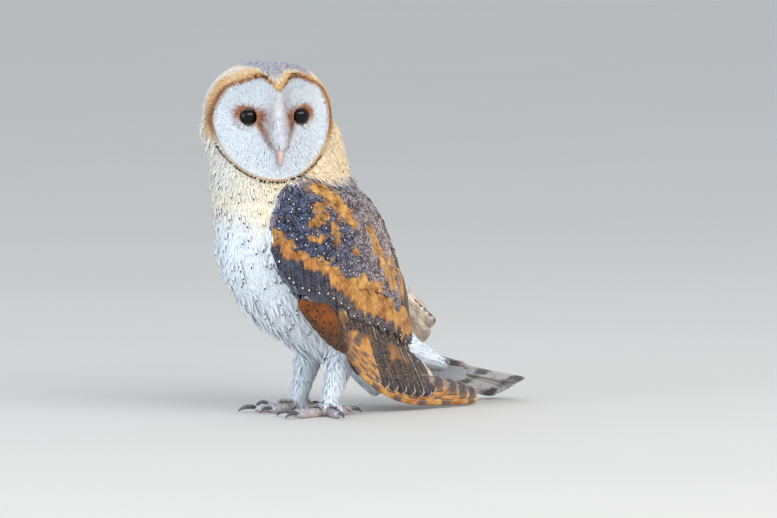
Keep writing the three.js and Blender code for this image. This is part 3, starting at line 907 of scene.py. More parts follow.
def weave(name, spine, stands, widths, thick, ring, uv, marks, finish, soft=True):
    """Small feathers round their spines. The last place of each spine is its tip. They are
    shaded mostly by the body's own shape, so that the coat looks soft, not scaly."""
    count, length = spine.shape[:2]
    rings, around = length - 1, len(ring)
    heading = unit(np.gradient(spine, axis=1))
    side = unit(np.cross(heading, stands))
    rise = unit(np.cross(side, heading))
    ring_across, ring_up = np.array(ring).T
    body = (
        spine[:, :rings, None]
        + side[:, :rings, None] * (widths[:, :rings, None] * ring_across)[..., None]
        + rise[:, :rings, None] * (thick[:, :rings, None] * ring_up)[..., None]
    )
    along = np.append(np.repeat(np.linspace(0, 1, length)[:-1], around), 1.0)
    across = np.append(np.tile(ring_across, rings), 0.0)
    steps = np.linalg.norm(np.diff(spine, axis=1), axis=2)
    away = np.concatenate([np.cumsum(steps[:, ::-1], 1)[:, ::-1], np.zeros((count, 1))], 1)
    away = np.concatenate([np.repeat(away[:, :rings], around, 1), away[:, -1:]], 1)
    wide = np.concatenate([np.repeat(widths[:, :rings], around, 1), widths[:, -1:] * 0], 1)
    each = len(along)
    looks = stands[:, :rings, None] + (side[:, :rings, None] * ring_across[:, None]) * ROUND_LOOK
    looks = looks + rise[:, :rings, None] * LIFTED_LOOK
    looks = np.where((ring_up < 0)[:, None], -rise[:, :rings, None], looks)
    looks = np.concatenate([unit(looks).reshape(count, -1, 3), stands[:, -1:]], 1)
    values = {key: np.repeat(value[:, None], each, 1) for key, value in marks.items()}
    values["along"] = np.tile(along, (count, 1))
    values["vane"] = np.stack([across * wide, away, values["seed"] * SEED_SPREAD], 2)
    patches = uv[:, None] + PATCH * np.stack([across / 2, along - 0.5], 1)
    return join_rings(name, body, spine[:, -1], values, patches, finish, looks if soft else None)


# %% [markdown]
# ## The finish of the plumage
# Down and small feathers share one finish. It starts white, and each marking lays its own
# colour over it. Grey parts are finely speckled. Each feather is a little darker at its
# root, where light doesn't reach, and no two are quite alike.

# %% Plumage
WHITE = tint(230, 238, 247)
CREAM = tint(250, 232, 196)
GOLD = tint(222, 168, 98)
RUST = tint(128, 76, 50)
INK = tint(36, 26, 24)
GREY_PALE = tint(188, 190, 212)
GREY_DARK = tint(92, 92, 116)


def plumage(name, root_shade):
    coat = Finish(name, Specular_IOR_Level=0.08, Sheen_Weight=0.06, Sheen_Roughness=0.6)
    mark = {key: coat.read(key) for key in MARKS}
    place, vane = coat.place(), coat.read("vane", "Vector")
    seed, along = coat.read("seed"), coat.read("along")
    cloud = coat.noise(place, 70, 3)
    colour = coat.mix(WHITE, tint(212, 222, 236), cloud.step(0.52, 0.72) * 0.5)
    colour = coat.mix(colour, CREAM, mark["cream"] * (0.6 + cloud * 0.5))
    colour = coat.mix(colour, GOLD, mark["gold"] * (0.62 + seed * 0.4))
    speckle = coat.noise(place, 900, 2).step(0.42, 0.58)
    grey = coat.mix(GREY_DARK, GREY_PALE, speckle)
    grey = coat.mix(grey, tint(70, 72, 92), coat.read("slate") * 0.75)
    colour = coat.mix(colour, grey, mark["grey"] * (0.72 + seed * 0.28))
    colour = coat.mix(colour, coat.mix(RUST, tint(176, 120, 84), seed), mark["rust"])
    colour = coat.mix(colour, INK, mark["ink"].step(0.3, 0.6) * seed.step(0.1, 0.2))
    across = coat.split(vane)
    away = across.beside("Y")
    gap = ((across * 1.1) ** 2.0 + ((away - 1.5) * 0.6) ** 2.0) ** 0.5
    colour = coat.mix(colour, INK, coat.read("spot") * (1 - gap.step(0.5, 0.75)))
    toes = coat.mix(tint(172, 160, 164), tint(205, 182, 160), coat.noise(place, 160, 2).step(0.5, 0.7))
    colour = coat.mix(colour, toes, mark["bare"].step(0.45, 0.75))
    shade = (1 - root_shade) + along.step(0.0, 0.75) * root_shade
    strands = coat.noise(vane * (2.4, 0.3, 1.0), 1.4, 2, 0.6)
    colour = colour * (shade * (0.9 + seed * 0.07 + strands * 0.07))
    ripple = coat.bump(strands, 0.3, 0.0002)
    return coat.wear(Base_Color=colour, Roughness=0.85 + cloud * 0.12, Normal=ripple)


down = plumage("down", 0.1)


# %% Finish the skin
skin.data.materials.clear()
skin.data.materials.append(plumage("skin", 0.0))
plain = {"seed": 0.5, "along": 0.5, "spot": 0.0}
values = {**skin_marks, **{key: np.full(len(hide.points), value) for key, value in plain.items()}}
for key, value in values.items():
    skin.data.attributes.new(key, "FLOAT", "POINT").data.foreach_set("value", value.astype(np.float32))
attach(skin, "root")
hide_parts(*[n for n in FLESH if n != "tail"])


# %% [markdown]
# ## The coat, tract by tract
# Each tract is scattered over its own part of the skin. Down on the face is shortest and
# finest. It grows longer over the head and neck, and longest on the belly and thighs.

# %% Lay a tract of down
LONG_TUFT = {"shares": (0, 0.34, 0.7, 1), "rise": (-0.3, 0.42, 0.8, 1)}
SHORT_TUFT = {"shares": (0, 0.5, 1), "rise": (-0.2, 0.75, 1)}


def all_marks(places, roots, **marks):
    """What the down's finish reads at one place of each feather."""
    return {**markings(places, roots.part), "seed": roots.seed, "spot": np.zeros(roots.count), **marks}


def lay_down(
    name, roots, long, wide, lift, spread=0.14, fluff=0.3, tuft=LONG_TUFT, uneven=0.2, soft=True, **marks
):
    """Narrow tufts. long and wide are in millimetres, lift is the height of their tips."""
    shares, rise = tuft["shares"], tuft["rise"]
    long = long * roots.random(1 - uneven, 1 + uneven)
    lift = lift * roots.random(1 - fluff, 1 + fluff)
    spine, stands = follow(roots, long, shares, roots.rng.normal(0, spread, roots.count))
    spine = spine + stands * (np.array(rise) * lift[:, None])[..., None]
    half = wide * roots.random(0.8, 1.25) / 2
    profile = {3: [0.8, 1.0, 0], 4: [0.7, 1.0, 0.78, 0]}[len(shares)]
    widths = half[:, None] * np.array(profile)
    thick = np.maximum(widths * 0.4, 0.07)
    own = all_marks(spine[:, -2] * 0.6 + spine[:, -1] * 0.4, roots, **marks)
    weave(name, spine, stands, widths, thick, TUFT_RING, roots.uv, own, down, soft)


eye_gap = np.minimum(
    *[np.linalg.norm(on_head(hide.points) - [s * EYE_SIDE, 0, EYE_FORWARD], axis=1) for s in (-1, 1)]
)
face_weight = np.clip(on_face * 1.3, 0, 1) * soft_step(eye_gap, 7.6, 8.6)
lay_down("face_down", scattered(face_weight, 0.7, 11), 4.6, 0.62, 1.5, 0.14, tuft=SHORT_TUFT)

# %% Where each tract grows
hide_y, hide_z = hide.points[:, 1], hide.points[:, 2]
hide_side, hide_up, hide_forward = on_head(hide.points).T
head_only = PART["head"] * (1 - on_face)
fore_head = soft_step(hide_forward, -8, -4)
white_front = soft_step(hide_y, 34, 22)
front = PART["trunk"] * white_front
chest = soft_step(hide_z, 118, 122)
low_belly = front * soft_step(hide_z, 105, 85) * soft_step(hide_y, 18, 4)
cheek = head_only * soft_step(hide_up, 8, -10)
neck_side = head_only * soft_step(hide_side, 26, 40) * soft_step(hide_up, 16, -2)
DOWN = [  # name, where, spacing, seed; length, width and lift of its tufts, spread, fluff
    ("head_down", head_only * fore_head, 1.0, 12, 8.5, 1.05, 2.6),
    ("nape_down", head_only * (1 - fore_head), 1.15, 18, 9.0, 1.3, 2.7),
    ("neck_down", PART["neck"], 1.1, 13, 11.5, 1.7, 2.5, 0.1, 0.14),
    ("breast_down", front * chest, 1.15, 14, 12.5, 1.9, 2.4, 0.1, 0.14),
    ("belly_down", front * (1 - chest), 1.2, 19, 13.5, 2.0, 2.7, 0.1, 0.16),
    ("rump_down", PART["trunk"] * (1 - white_front) + PART["tail"], 1.3, 15, 13.0, 1.9, 2.8),
    ("vent_down", PART["tail"] * soft_step(hide_y, 96, 112), 2.2, 25, 24.0, 3.2, 3.0, 0.2),
    ("thigh_down", PART["thigh"], 1.05, 16, 12.0, 1.7, 4.0),
    ("tarsus_down", PART["tarsus"], 0.95, 17, 8.0, 1.4, 2.9),
]
TIPS = [  # Loose tufts stand a little out of the coat where it meets the air.
    ("belly_tips", low_belly, 6.5, 41, 15.0, 2.6, 5.6, 0.1),
    ("thigh_tips", PART["thigh"], 5.0, 42, 13.0, 2.4, 5.4, 0.15),
    ("cheek_tips", cheek, 6.5, 43, 9.5, 1.5, 4.4, 0.2),
    ("hackles", neck_side, 1.15, 46, 13.0, 2.1, 3.9, 0.04, 0.08),
]


def lay_tracts(tracts):
    for name, weight, spacing, seed, *measures in tracts:
        lay_down(name, scattered(weight, spacing, seed), *measures)


lay_tracts(DOWN)
toe_tops = PART["foot"] * soft_step(hide.normals[:, 2], -0.1, 0.4) * soft_step(hide_z, 3, 6)
toe_roots = scattered(toe_tops, 1.7, 20)
lay_down("toe_bristles", toe_roots, 3.4, 0.5, 0.8, 0.3, tuft=SHORT_TUFT, bare=np.zeros(toe_roots.count))
lay_tracts(TIPS)


# %% [markdown]
# The breast carries small dark drops, each the end of one feather that lies on top of the
# down. They are larger on the breast than at the throat.

# %% Drops
DROP_TUFT = {"shares": (0, 0.34, 0.75, 1), "rise": (-0.3, 0.7, 0.95, 1)}
breast_share = front * soft_step(hide_z, 182, 172) * soft_step(hide_z, 62, 70)
throat_share = (PART["neck"] + front) * soft_step(hide_z, 150, 165)
for name, weight, spacing, seed, wide in (
    ("breast_drops", breast_share, 10.5, 44, 2.2), ("throat_drops", throat_share, 10.0, 45, 1.3),
):
    roots = scattered(weight, spacing, seed)
    lay_down(name, roots, 8.0, wide, 4.7, 0.1, 0.06, DROP_TUFT, spot=np.ones(roots.count))


# %% [markdown]
# ## The face
# The face ends in a ruff: rows of short stiff feathers that stand up round its edge, with a
# golden band above and a thin black line below. A wedge of bristly feathers comes down
# between the eyes and covers most of the bill.

# %% The ruff
RUFF_ROWS = [0.93, 0.96, 0.985, 1.01, 1.035, 1.06, 1.09, 1.12]
RUFF_ROUND = 330


def on_face_at(side, up):
    """A place on the front of the head, by its distance sideways and up. The face is a shallow
    dish, furthest forward in its middle."""
    over = np.maximum(np.hypot(side, up + FACE_DROP) / FACE_RADIUS - 1, 0)
    forward = 34 - 24 * (np.abs(side) / FACE_RADIUS) ** 1.8 - 5 * soft_step(-up, 26, 50) - 40 * over
    return HEAD_CENTRE + np.stack([side, up, forward], 1) @ HEAD_AXES


places, outward, rank = [], [], []
for row, share in enumerate(RUFF_ROWS):
    angles = (np.arange(RUFF_ROUND) + 0.5 * (row % 2)) / RUFF_ROUND * 2 * math.pi
    radius = disc_radius(angles) * share
    places.append(on_face_at(radius * np.cos(angles), radius * np.sin(angles) - FACE_DROP * share))
    outward.append(np.stack([np.cos(angles), np.sin(angles), 0 * angles], 1) @ HEAD_AXES)
    rank.append(np.full(RUFF_ROUND, row / (len(RUFF_ROWS) - 1)))
ruff = rooted(np.concatenate(places), 51)
ruff.ways = along_surface(np.concatenate(outward), ruff.normals)
rank = np.concatenate(rank)
sideways, up, _ = on_head(ruff.spots).T
tall = blend(2.2, 3.2, bell(rank - 0.4, 0.4)) * (1 - 0.5 * soft_step(up, 14, 28))
# Below, the third row's feathers are black, and some of the fourth row's.
start = blend(-15, -25, soft_step(sideways, -20, 20))
second = ruff.rng.random(ruff.count) < 0.6 * soft_step(sideways, -26, -4)
line = (np.abs(rank - 2 / 7) < 0.05) + (np.abs(rank - 3 / 7) < 0.05) * second
ink = line * soft_step(up - start, 0, -6)
lay_down(
    "ruff", ruff, blend(3.0, 4.6, rank), blend(0.9, 1.3, rank), tall, 0.04, 0.08, uneven=0.05,
    soft=False, ink=ink,
)

# %% The wedge over the bill
WEDGE = through([
    (12, 32.6, 4.2), (4, 33.6, 6.4), (-5, 35.6, 8.6), (-12, 37.6, 8.0), (-19, 39.5, 5.6), (-25, 40.6, 2.8),
])
BRISTLES = 900
rng = np.random.default_rng(52)
up = rng.uniform(-19, 11, BRISTLES)
ridge, half = WEDGE(up)
side = rng.uniform(-1, 1, BRISTLES) * half
shares = np.array(LONG_TUFT["shares"])
run = rng.uniform(4.5, 6.5, BRISTLES)
spine_up = up[:, None] - run[:, None] * shares
spine_side = side[:, None] * (1 + 0.1 * shares)
ridge, half = WEDGE(np.maximum(spine_up, -25))
slope = np.clip(np.abs(spine_side) / half, 0, 1.3) ** 2
spine_forward = ridge - 0.45 * half * slope + shares * rng.uniform(0.1, 0.6, (BRISTLES, 1))
spine = HEAD_CENTRE + np.stack([spine_side, spine_up, spine_forward], 2) @ HEAD_AXES
stands = unit(np.stack([spine_side / 3.2, 0.1 + 0 * spine_up, 1 + 0 * spine_up], 2)) @ HEAD_AXES
wedge = rooted(spine[:, 0], 52)
widths = rng.uniform(0.28, 0.42, (BRISTLES, 1)) * np.array([0.7, 1.0, 0.8, 0])
marks = all_marks(spine[:, 2], wedge)
at_edge = soft_step(np.abs(side) / half[:, 0], 0.5, 1.1)
marks["rust"] = 0.55 * at_edge + 0.4 * rng.random(BRISTLES) ** 3 + 0.08
marks["grey"] = 0.16 + 0.2 * rng.random(BRISTLES)
weave("wedge_down", spine, stands, widths, widths * 0.4 + 0.05, TUFT_RING, wedge.uv, marks, down)

# %% Eyeballs
EYE_RADIUS = 8.0
LOOK_OUT = math.radians(6)


def eye_centre(hand):
    return HEAD_CENTRE + SIDE * hand * EYE_SIDE + FORWARD * EYE_FORWARD


def eye_frame(hand):
    """A frame at an eye's middle that looks along its own Z, in metres."""
    ahead = FORWARD * math.cos(LOOK_OUT) + SIDE * hand * math.sin(LOOK_OUT)
    across = SIDE * math.cos(LOOK_OUT) - FORWARD * hand * math.sin(LOOK_OUT)
    turn = Matrix(np.array([across, UP, ahead]).T.tolist()).to_4x4()
    return Matrix.Translation(to_metres(eye_centre(hand))) @ turn @ Matrix.Scale(MM, 4)


def make_piece(name, shape, material):
    """A piece from a finished bmesh."""
    mesh = bpy.data.meshes.new(name)
    bmesh.ops.recalc_face_normals(shape, faces=shape.faces)
    shape.to_mesh(mesh)
    shape.free()
    mesh.shade_smooth()
    mesh.materials.append(material)
    piece = placed(name, mesh)
    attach(piece, "root")
    print(f"{name}: {len(mesh.polygons)} faces")
    return piece


glossy_eye = Finish("glossy_eye", Roughness=0.06, Specular_IOR_Level=0.26)
depths = glossy_eye.noise(glossy_eye.place(), 260)
glossy_eye.wear(Base_Color=glossy_eye.mix(tint(4, 3, 5), tint(12, 8, 7), depths))
balls = bmesh.new()
for hand in (-1, 1):
    bmesh.ops.create_uvsphere(balls, u_segments=48, v_segments=32, radius=EYE_RADIUS, matrix=eye_frame(hand))
eyes = make_piece("eyeballs", balls, glossy_eye.material)
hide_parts("eye_left", "eye_right")

# %% Lids
LID = [(5.6, 5.8), (5.8, 6.15), (6.3, 6.2), (7.0, 5.8), (8.0, 4.4), (8.6, 2.6), (7.9, 2.4), (6.6, 4.8)]
lids = bmesh.new()
for hand in (-1, 1):
    # A lid is its profile spun round the eye, then drawn out towards the eye's corners.
    before = set(lids.verts)
    rim = [lids.verts.new((radius, 0, height)) for radius, height in LID]
    edges = [lids.edges.new((a, b)) for a, b in zip(rim, rim[1:] + rim[:1])]
    bmesh.ops.spin(
        lids, geom=rim + edges, cent=(0, 0, 0), axis=(0, 0, 1), angle=2 * math.pi, steps=48, use_merge=True
    )
    turned = [v for v in lids.verts if v not in before]
    for vert in turned:
        opening = 1 - soft_step(vert.co.xy.length, 6.2, 8.2)
        sideways = abs(vert.co.x) / vert.co.xy.length
        corner = bell(math.atan2(vert.co.y, -hand * vert.co.x) + 0.5, 0.5)
        vert.co.z -= 0.9 * opening * sideways
        vert.co.x *= 1 + (0.17 if hand < 0 else 0.06) * opening + 0.05 * corner
        vert.co.y *= 1 - 0.08 * opening
    bmesh.ops.transform(lids, matrix=eye_frame(hand), verts=turned)
lid_finish = Finish("lids", Roughness=0.5)
creases = lid_finish.noise(lid_finish.place(), 1500, 2)
lid_colour = lid_finish.mix(tint(52, 38, 36), tint(92, 66, 58), creases)
lid_finish.wear(Base_Color=lid_colour, Normal=lid_finish.bump(creases, 0.3, 0.0002))
make_piece("lids", lids, lid_finish.material)

# %% Lashes
LASHES, LASH_START = 260, 6.3
spines, stands = [], []
rng = np.random.default_rng(53)
for hand in (-1, 1):
    turn = np.array(eye_frame(hand).to_3x3()) / MM
    angles = rng.uniform(0, 2 * math.pi, LASHES)
    start = rng.uniform(LASH_START, 8.2, (LASHES, 1))
    radius = start + rng.uniform(2.6, 4.2, (LASHES, 1)) * np.array([0, 0.5, 1])
    height = 6.45 - 0.35 * (radius - LASH_START) + np.array([0, 0.25, 0.35])
    around = [radius * np.cos(angles)[:, None], radius * np.sin(angles)[:, None], height]
    spines.append(eye_centre(hand) + np.stack(around, 2) @ turn.T)
    lean = unit(np.stack([around[0], around[1], 0 * height + 24], 2))
    stands.append(lean @ turn.T)
spine, stands = np.concatenate(spines), np.concatenate(stands)
lashes = rooted(spine[:, 0], 54)
widths = rng.uniform(0.2, 0.32, (2 * LASHES, 1)) * np.array([0.8, 1.0, 0])
marks = all_marks(spine[:, 1], lashes)
marks["rust"] = np.clip(marks["rust"] + 0.15, 0, 1)
weave("lashes", spine, stands, widths, widths * 0.4 + 0.05, TUFT_RING, lashes.uv, marks, down)


# %% [markdown]
# ## Horn
# The bill and claws keep their solids' shapes. A copy of each is joined and made smooth by
# one level of subdivision, and the claws become one piece.

# %% Bill and claws
def smooth_copy(name, nodes, material):
    """One piece that replaces these solids, rounded by a level of subdivision."""
    piece = make_piece(name, joined_solids(nodes), material)
    rounder = piece.modifiers.new("rounder", "SUBSURF")
    rounder.levels = rounder.render_levels = 1
    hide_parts(*nodes)


def horn(name, dark, pale, **constants):
    """Horn that grows in fine streaks between a dark and a pale colour."""
    finish = Finish(name, **constants)
    place = finish.place()
    grain = finish.noise(place * (1.0, 1.0, 0.35), 420, 3)
    spots = finish.noise(place, 1400, 2)
    height = finish.bump(grain * 0.6 + spots * 0.4, 0.15, 0.0002)
    colour = finish.mix(dark, pale, grain.step(0.3, 0.7))
    return finish.wear(Base_Color=colour, Roughness=0.28 + spots * 0.2, Normal=height)


bill_horn = horn("bill_horn", tint(172, 138, 134), tint(202, 176, 170), Coat_Weight=0.25, Coat_Roughness=0.3)
claw_horn = horn("claw_horn", tint(44, 46, 54), tint(92, 98, 108), Coat_Weight=0.4, Coat_Roughness=0.2)
smooth_copy("upper_bill", ["bill_upper"], bill_horn)
smooth_copy("lower_bill", ["bill_lower"], bill_horn)
smooth_copy("claws", [n for n in NODES if n.startswith("claw_")], claw_horn)


# %% [markdown]
# ## Coverts
# The small feathers of the wing and back are rounded vanes that lie like roof tiles, larger
# towards the wing's tip. Each has a velvety, finely speckled end with a white dot in a dark
# ring, and its golden base shows where its neighbours leave it bare.

# %% The finish of the coverts
SLATE_DARK, SLATE_PALE = tint(22, 27, 42), tint(98, 108, 138)
LILAC_DARK, LILAC_PALE = tint(74, 62, 66), tint(204, 182, 178)
PALE_GOLD, RUFOUS = tint(226, 170, 94), tint(158, 90, 38)
DEEP_GOLD, UMBER = tint(232, 178, 104), tint(134, 84, 42)


def speckled(coat, vane, place, slate):
    """Fine grey speckle: slate where slate is 1, lilac where it is 0."""
    fine = coat.noise(place, 760, 2, 0.6)
    hatch = coat.noise(vane, 1.2, 2, 0.6)
    lumps = coat.noise(place, 160, 2)
    share = (fine * 0.65 + hatch * 0.35 + (lumps - 0.5) * 0.32).step(0.42, 0.62)
    dark = coat.mix(LILAC_DARK, SLATE_DARK, slate)
    pale = coat.mix(LILAC_PALE, SLATE_PALE, slate)
    return coat.mix(dark, pale, share)


def dot_at(coat, across, away, height, size):
    """A white dot in a dark ring, height back from a feather's tip. Its two shares."""
    gap = ((across / size) ** 2.0 + ((away - height) * 0.8 / size) ** 2.0) ** 0.5
    return 1 - gap.step(0.8, 1.3), 1 - gap.step(0.42, 0.6)


def covert_finish():
    coat = Finish("coverts", Specular_IOR_Level=0.25, Sheen_Weight=0.1, Sheen_Roughness=0.5)
    place, vane = coat.place(), coat.read("vane", "Vector")
    mark = {key: coat.read(key) for key in ("gold", "slate")}
    seed, along = coat.read("seed"), coat.read("along")
    across = coat.split(vane)
    away = across.beside("Y")
    grey = speckled(coat, vane, place, mark["slate"])
    cloud = coat.noise(place, 120, 3)
    strands = coat.noise(vane * (1.8, 0.22, 1.0), 1.1, 3, 0.65)
    gold = coat.mix(DEEP_GOLD, UMBER, (cloud * 0.6 + strands * 0.5 + mark["slate"] * 0.04).step(0.4, 0.72))
    fine = coat.noise(place, 620, 2)
    share = mark["gold"] * 1.1 + (1 - along) * 0.8 - 0.5
    share = share + (strands - 0.5) * 1.7 + (fine - 0.5) * 1.2 + seed * 0.3
    colour = coat.mix(grey, gold, share.step(0.3, 0.7))
    dotted = seed.step(0.58, 0.6) * (1 - mark["gold"] * 0.85)
    ring, dot = dot_at(coat, across, away, 1.9, 0.88)
    colour = coat.mix(colour, tint(22, 20, 26), ring * dotted)
    colour = coat.mix(colour, tint(232, 230, 232), dot * dotted)
    shade = 0.84 + along.step(0.1, 0.8) * 0.16
    height = coat.bump(strands, 0.3, 0.0003)
    colour = colour * (shade * (0.82 + seed * 0.2 + cloud * 0.14))
    return coat.wear(Base_Color=colour, Roughness=0.7 + cloud * 0.2, Normal=height)


coverts = covert_finish()


# %% Lay a tract of coverts
SPREAD = through([(-30, 34), (-10, 40), (20, 47), (70, 49), (120, 45), (175, 38), (250, 29)])
COVERT_RINGS = np.array([  # share of the length, height, width and thickness
    (0.0, -0.2, 0.5, 0.08), (0.25, 0.25, 0.92, 0.12), (0.5, 0.55, 1.0, 0.12), (0.72, 0.8, 0.9, 0.09),
    (0.88, 0.92, 0.66, 0.06), (0.97, 0.98, 0.36, 0.04), (1.0, 1.0, 0.0, 0.0),
]).T


def lay_coverts(name, roots, long, wide, lift):
    """Rounded vanes. long and wide are in millimetres."""
    shares, heights, widths, thick = COVERT_RINGS
    size = roots.random(0.85, 1.15)
    spine, stands = follow(roots, long * size, shares, roots.rng.normal(0, 0.14, roots.count))
    lift = lift * roots.random(0.8, 1.2)
    spine = spine + stands * (heights * lift[:, None])[..., None]
    half = (wide * size / 2)[:, None]
    marks = {**markings(spine[:, 4], roots.part), "seed": roots.seed}
    weave(
        name, spine, stands, half * widths, half * thick + 0.04, VANE_RING, roots.uv, marks, coverts,
    )


def without(roots, *marks):
    return {key: np.zeros(roots.count) for key in marks}


# %% Coverts on both wings and on the back
for name, wing in WINGS.items():
    along, across = wing_place(wing, hide.points)
    own = on_one_wing(wing)
    inner = soft_step(hide.normals[:, 0] * wing["hand"], 0.1, -0.2)
    shown = soft_step(across - lesser_end(along), 3, 5) * (1 - inner)
    roots = scattered(own * shown, 3.1, 21)
    growth = soft_step(wing_place(wing, roots.spots)[0], -20, 110)
    lay_coverts(f"coverts_{name}", roots, blend(8.5, 14, growth), blend(5.0, 8.0, growth), 2.1)
    # White down lines the wing inside, and white feathers edge the bend of the wing.
    hidden = soft_step(across, 10, 18) * soft_step(across, 66, 56) * soft_step(along, 20, 32)
    roots = scattered(own * inner * hidden, 2.2, 24)
    lay_down(f"lining_{name}", roots, 12.0, 3.0, 2.4, **without(roots, "grey", "gold", "slate", "rust"))
    share = np.linspace(0, 1, 60)
    bend_along, bend_across = blend(-24, -5, share), blend(25.5, 9.5, share) - 1.5 * np.sin(share * 37)
    y, z = on_wing(wing, "coverts", bend_along, bend_across)
    roots = rooted(np.stack([wing["hand"] * SPREAD(bend_along)[0], y, z], 1), 26)
    white = without(roots, "grey", "gold", "slate", "cream")
    lay_down(f"bend_{name}", roots, 9.0, 2.6, 4.2, 0.1, **white)
back = PART["trunk"] * (1 - white_front) + PART["neck"] * soft_step(hide_y, 0, 10)
back = back * soft_step(hide_z, 60, 75)
lay_coverts("mantle", scattered(back, 3.4, 23), 12.0, 6.5, 3.0)


# %% [markdown]
# ## Long feathers
# The long feathers of wing and tail are closed sheets of their own, laid one on another: a
# raised shaft, a narrow web on its outer side and a broad one inside. They follow the
# solid's wing face and tail, so that their tips end where the solid's do.

# %% The shape of the trunk and the wing's outer face
TRUNK = through([
    (240, -37, -35, 1), (231, -72, -2, 26), (219, -82, 17, 31), (206, -88, 22, 34), (184, -91, 29, 37),
    (161, -87, 42, 45), (140, -84, 52, 48), (120, -83, 62, 47), (98, -74, 71, 45), (80, -60, 76, 41),
    (62, -39, 78, 36), (48, -15, 78, 31), (37, 8, 73, 23), (29, 44, 46, 1),
])


TRUNK_FOOT, TRUNK_TOP = 29, 240
WING_THICK, WING_NEAREST = 7, 6.5


def soft_most(a, b, round_off):
    """The greater of two, without a crease where they cross."""
    return (a + b + np.sqrt((a - b) ** 2 + round_off)) / 2


def wing_face(wing, along, across):
    """How far the wing's outer face stands from the middle of the owl. It hangs by its own
    spread, or lies on the trunk where that is wider."""
    y, z = on_wing(wing, "coverts", along, across)
    front, back, half = TRUNK(np.clip(z, TRUNK_FOOT, TRUNK_TOP))
    reach = (y - (front + back) / 2) / ((back - front) / 2 + WING_THICK)
    lying = (half + WING_THICK) * np.sqrt(np.clip(1 - reach * reach, 0, 1))
    lying = np.where(z > TRUNK_FOOT, lying, 0)
    hanging = SPREAD(along)[0] - np.clip(across - 20, 0, None) ** 2 / 36
    return soft_most(soft_most(hanging, lying, 5), WING_NEAREST, 6)


# %% Rings along a long feather
SHEET_ACROSS = np.array([-1, -0.75, -0.4, -0.07, 0, 0.07, 0.4, 0.75, 1, 0.75, 0.4, 0, -0.4, -0.75])
SHEET_LIFT = np.array([0, 0.05, 0.1, 0.12, 0.34, 0.12, 0.1, 0.05, 0, -0.2, -0.34, -0.4, -0.34, -0.2])
SHEET_RINGS = 24


def feather_rings(roots, tips, broad, bow):
    """Rings along long feathers, closer together where the tip is rounded: their share of the
    length, their width as a share, their middles, and how far they are from the tip."""
    reach = tips - roots
    long = np.linalg.norm(reach, axis=1)
    round_share = np.clip(0.62 * broad / long, 0.03, 0.4)[:, None]
    half = SHEET_RINGS // 2
    body = np.linspace(0, 1, half, endpoint=False)[None] * (1 - round_share)
    tip = 1 - round_share * np.cos(np.linspace(0, 0.97, SHEET_RINGS - half) * math.pi / 2)
    share = np.concatenate([body, tip], 1)
    into = np.clip((share - 1 + round_share) / round_share, 0, 1)
    girth = soft_step(share, -0.04, 0.22) * np.sqrt(np.clip(1 - into**2, 0, 1))
    girth = girth * (0.9 + 0.1 * soft_step(share, 0, 0.6))
    heading = unit(reach)
    lateral = np.stack([-heading[:, 1], heading[:, 0]], 1)
    curve = (4 * share * (1 - share) * bow)[..., None] * lateral[:, None]
    middles = roots[:, None] + reach[:, None] * share[..., None] + curve
    return share, girth, middles, (1 - share) * long[:, None]


# %% Lay long feathers on a sheet
def lay_sheets(
    name, place, roots, tips, outer, inner, deep, finish, bow=0.0, seed=31, camber=0.8,
    pale_from=2.0, marks=None, each=None,
):
    """Long feathers. place takes along, across and depth to X, Y, Z. deep is each feather's
    depth at its root and at its tip; outer and inner are the widths of its webs. Beyond
    pale_from the inner web's margin is as pale as the underside."""
    roots, tips = np.array(roots, float), np.array(tips, float)
    count, around = len(roots), len(SHEET_ACROSS)
    outer, inner = (np.broadcast_to(v, count).astype(float) for v in (outer, inner))
    deep = np.broadcast_to(deep, (count, 2)).astype(float)
    share, girth, middles, away = feather_rings(roots, tips, outer + inner, bow)
    way = unit(np.gradient(middles, axis=1))
    lateral = np.stack([-way[..., 1], way[..., 0]], -1)
    web = np.where(SHEET_ACROSS < 0, outer[:, None], inner[:, None])
    offset = girth[..., None] * (web * SHEET_ACROSS)[:, None]
    spots = middles[:, :, None] + lateral[:, :, None] * offset[..., None]
    depth = blend(deep[:, :1], deep[:, 1:], soft_step(share, 0.1, 0.9))
    depth = depth[..., None] + camber * (SHEET_ACROSS**2)[None, None] * girth[..., None] - SHEET_LIFT
    body = place(spots[..., 0], spots[..., 1], depth)
    end = middles[:, -1] + way[:, -1] * 0.3
    points = place(end[:, 0], end[:, 1], depth[:, -1, 0])

    def per_point(rings, tip):
        full = np.broadcast_to(rings, (count, SHEET_RINGS, around)).reshape(count, -1)
        return np.concatenate([full, np.broadcast_to(tip, count)[:, None]], 1)

    def per_feather(value):
        return per_point(np.broadcast_to(value, count)[:, None, None].astype(float), value)

    kind = np.random.default_rng(seed).random(count)
    under = (SHEET_LIFT < -0.01) | (SHEET_ACROSS > pale_from)
    values = {
        "along": per_point(share[..., None], 1.0),
        "across": per_point(SHEET_ACROSS, 0.0),
        "seed": per_feather(kind),
        "under": per_point(under.astype(float), 0.0),
    }
    lengths = [per_point(offset, 0.0), per_point(away[..., None], 0.0), per_feather(kind * SEED_SPREAD)]
    values["vane"] = np.stack(lengths, 2)
    flat = np.concatenate([spots.reshape(count, -1, 2), end[:, None]], 1)
    for key, function in (marks or {}).items():
        values[key] = function(flat[..., 0], flat[..., 1])
    for key, value in (each or {}).items():
        values[key] = per_feather(value)
    # Each feather is a strip of the unwrap: its top in one half, its underside in the other.
    half_way = np.where(SHEET_LIFT >= 0, (SHEET_ACROSS + 1) / 4, 0.5 + (1 - SHEET_ACROSS) / 4)
    strip = (np.arange(count)[:, None, None] + 0.04 + 0.92 * half_way) / count
    uv = np.stack([per_point(strip, 0.5 / count), per_point(share[..., None], 1.0)], 2)
    return join_rings(name, body, points, values, uv, finish)


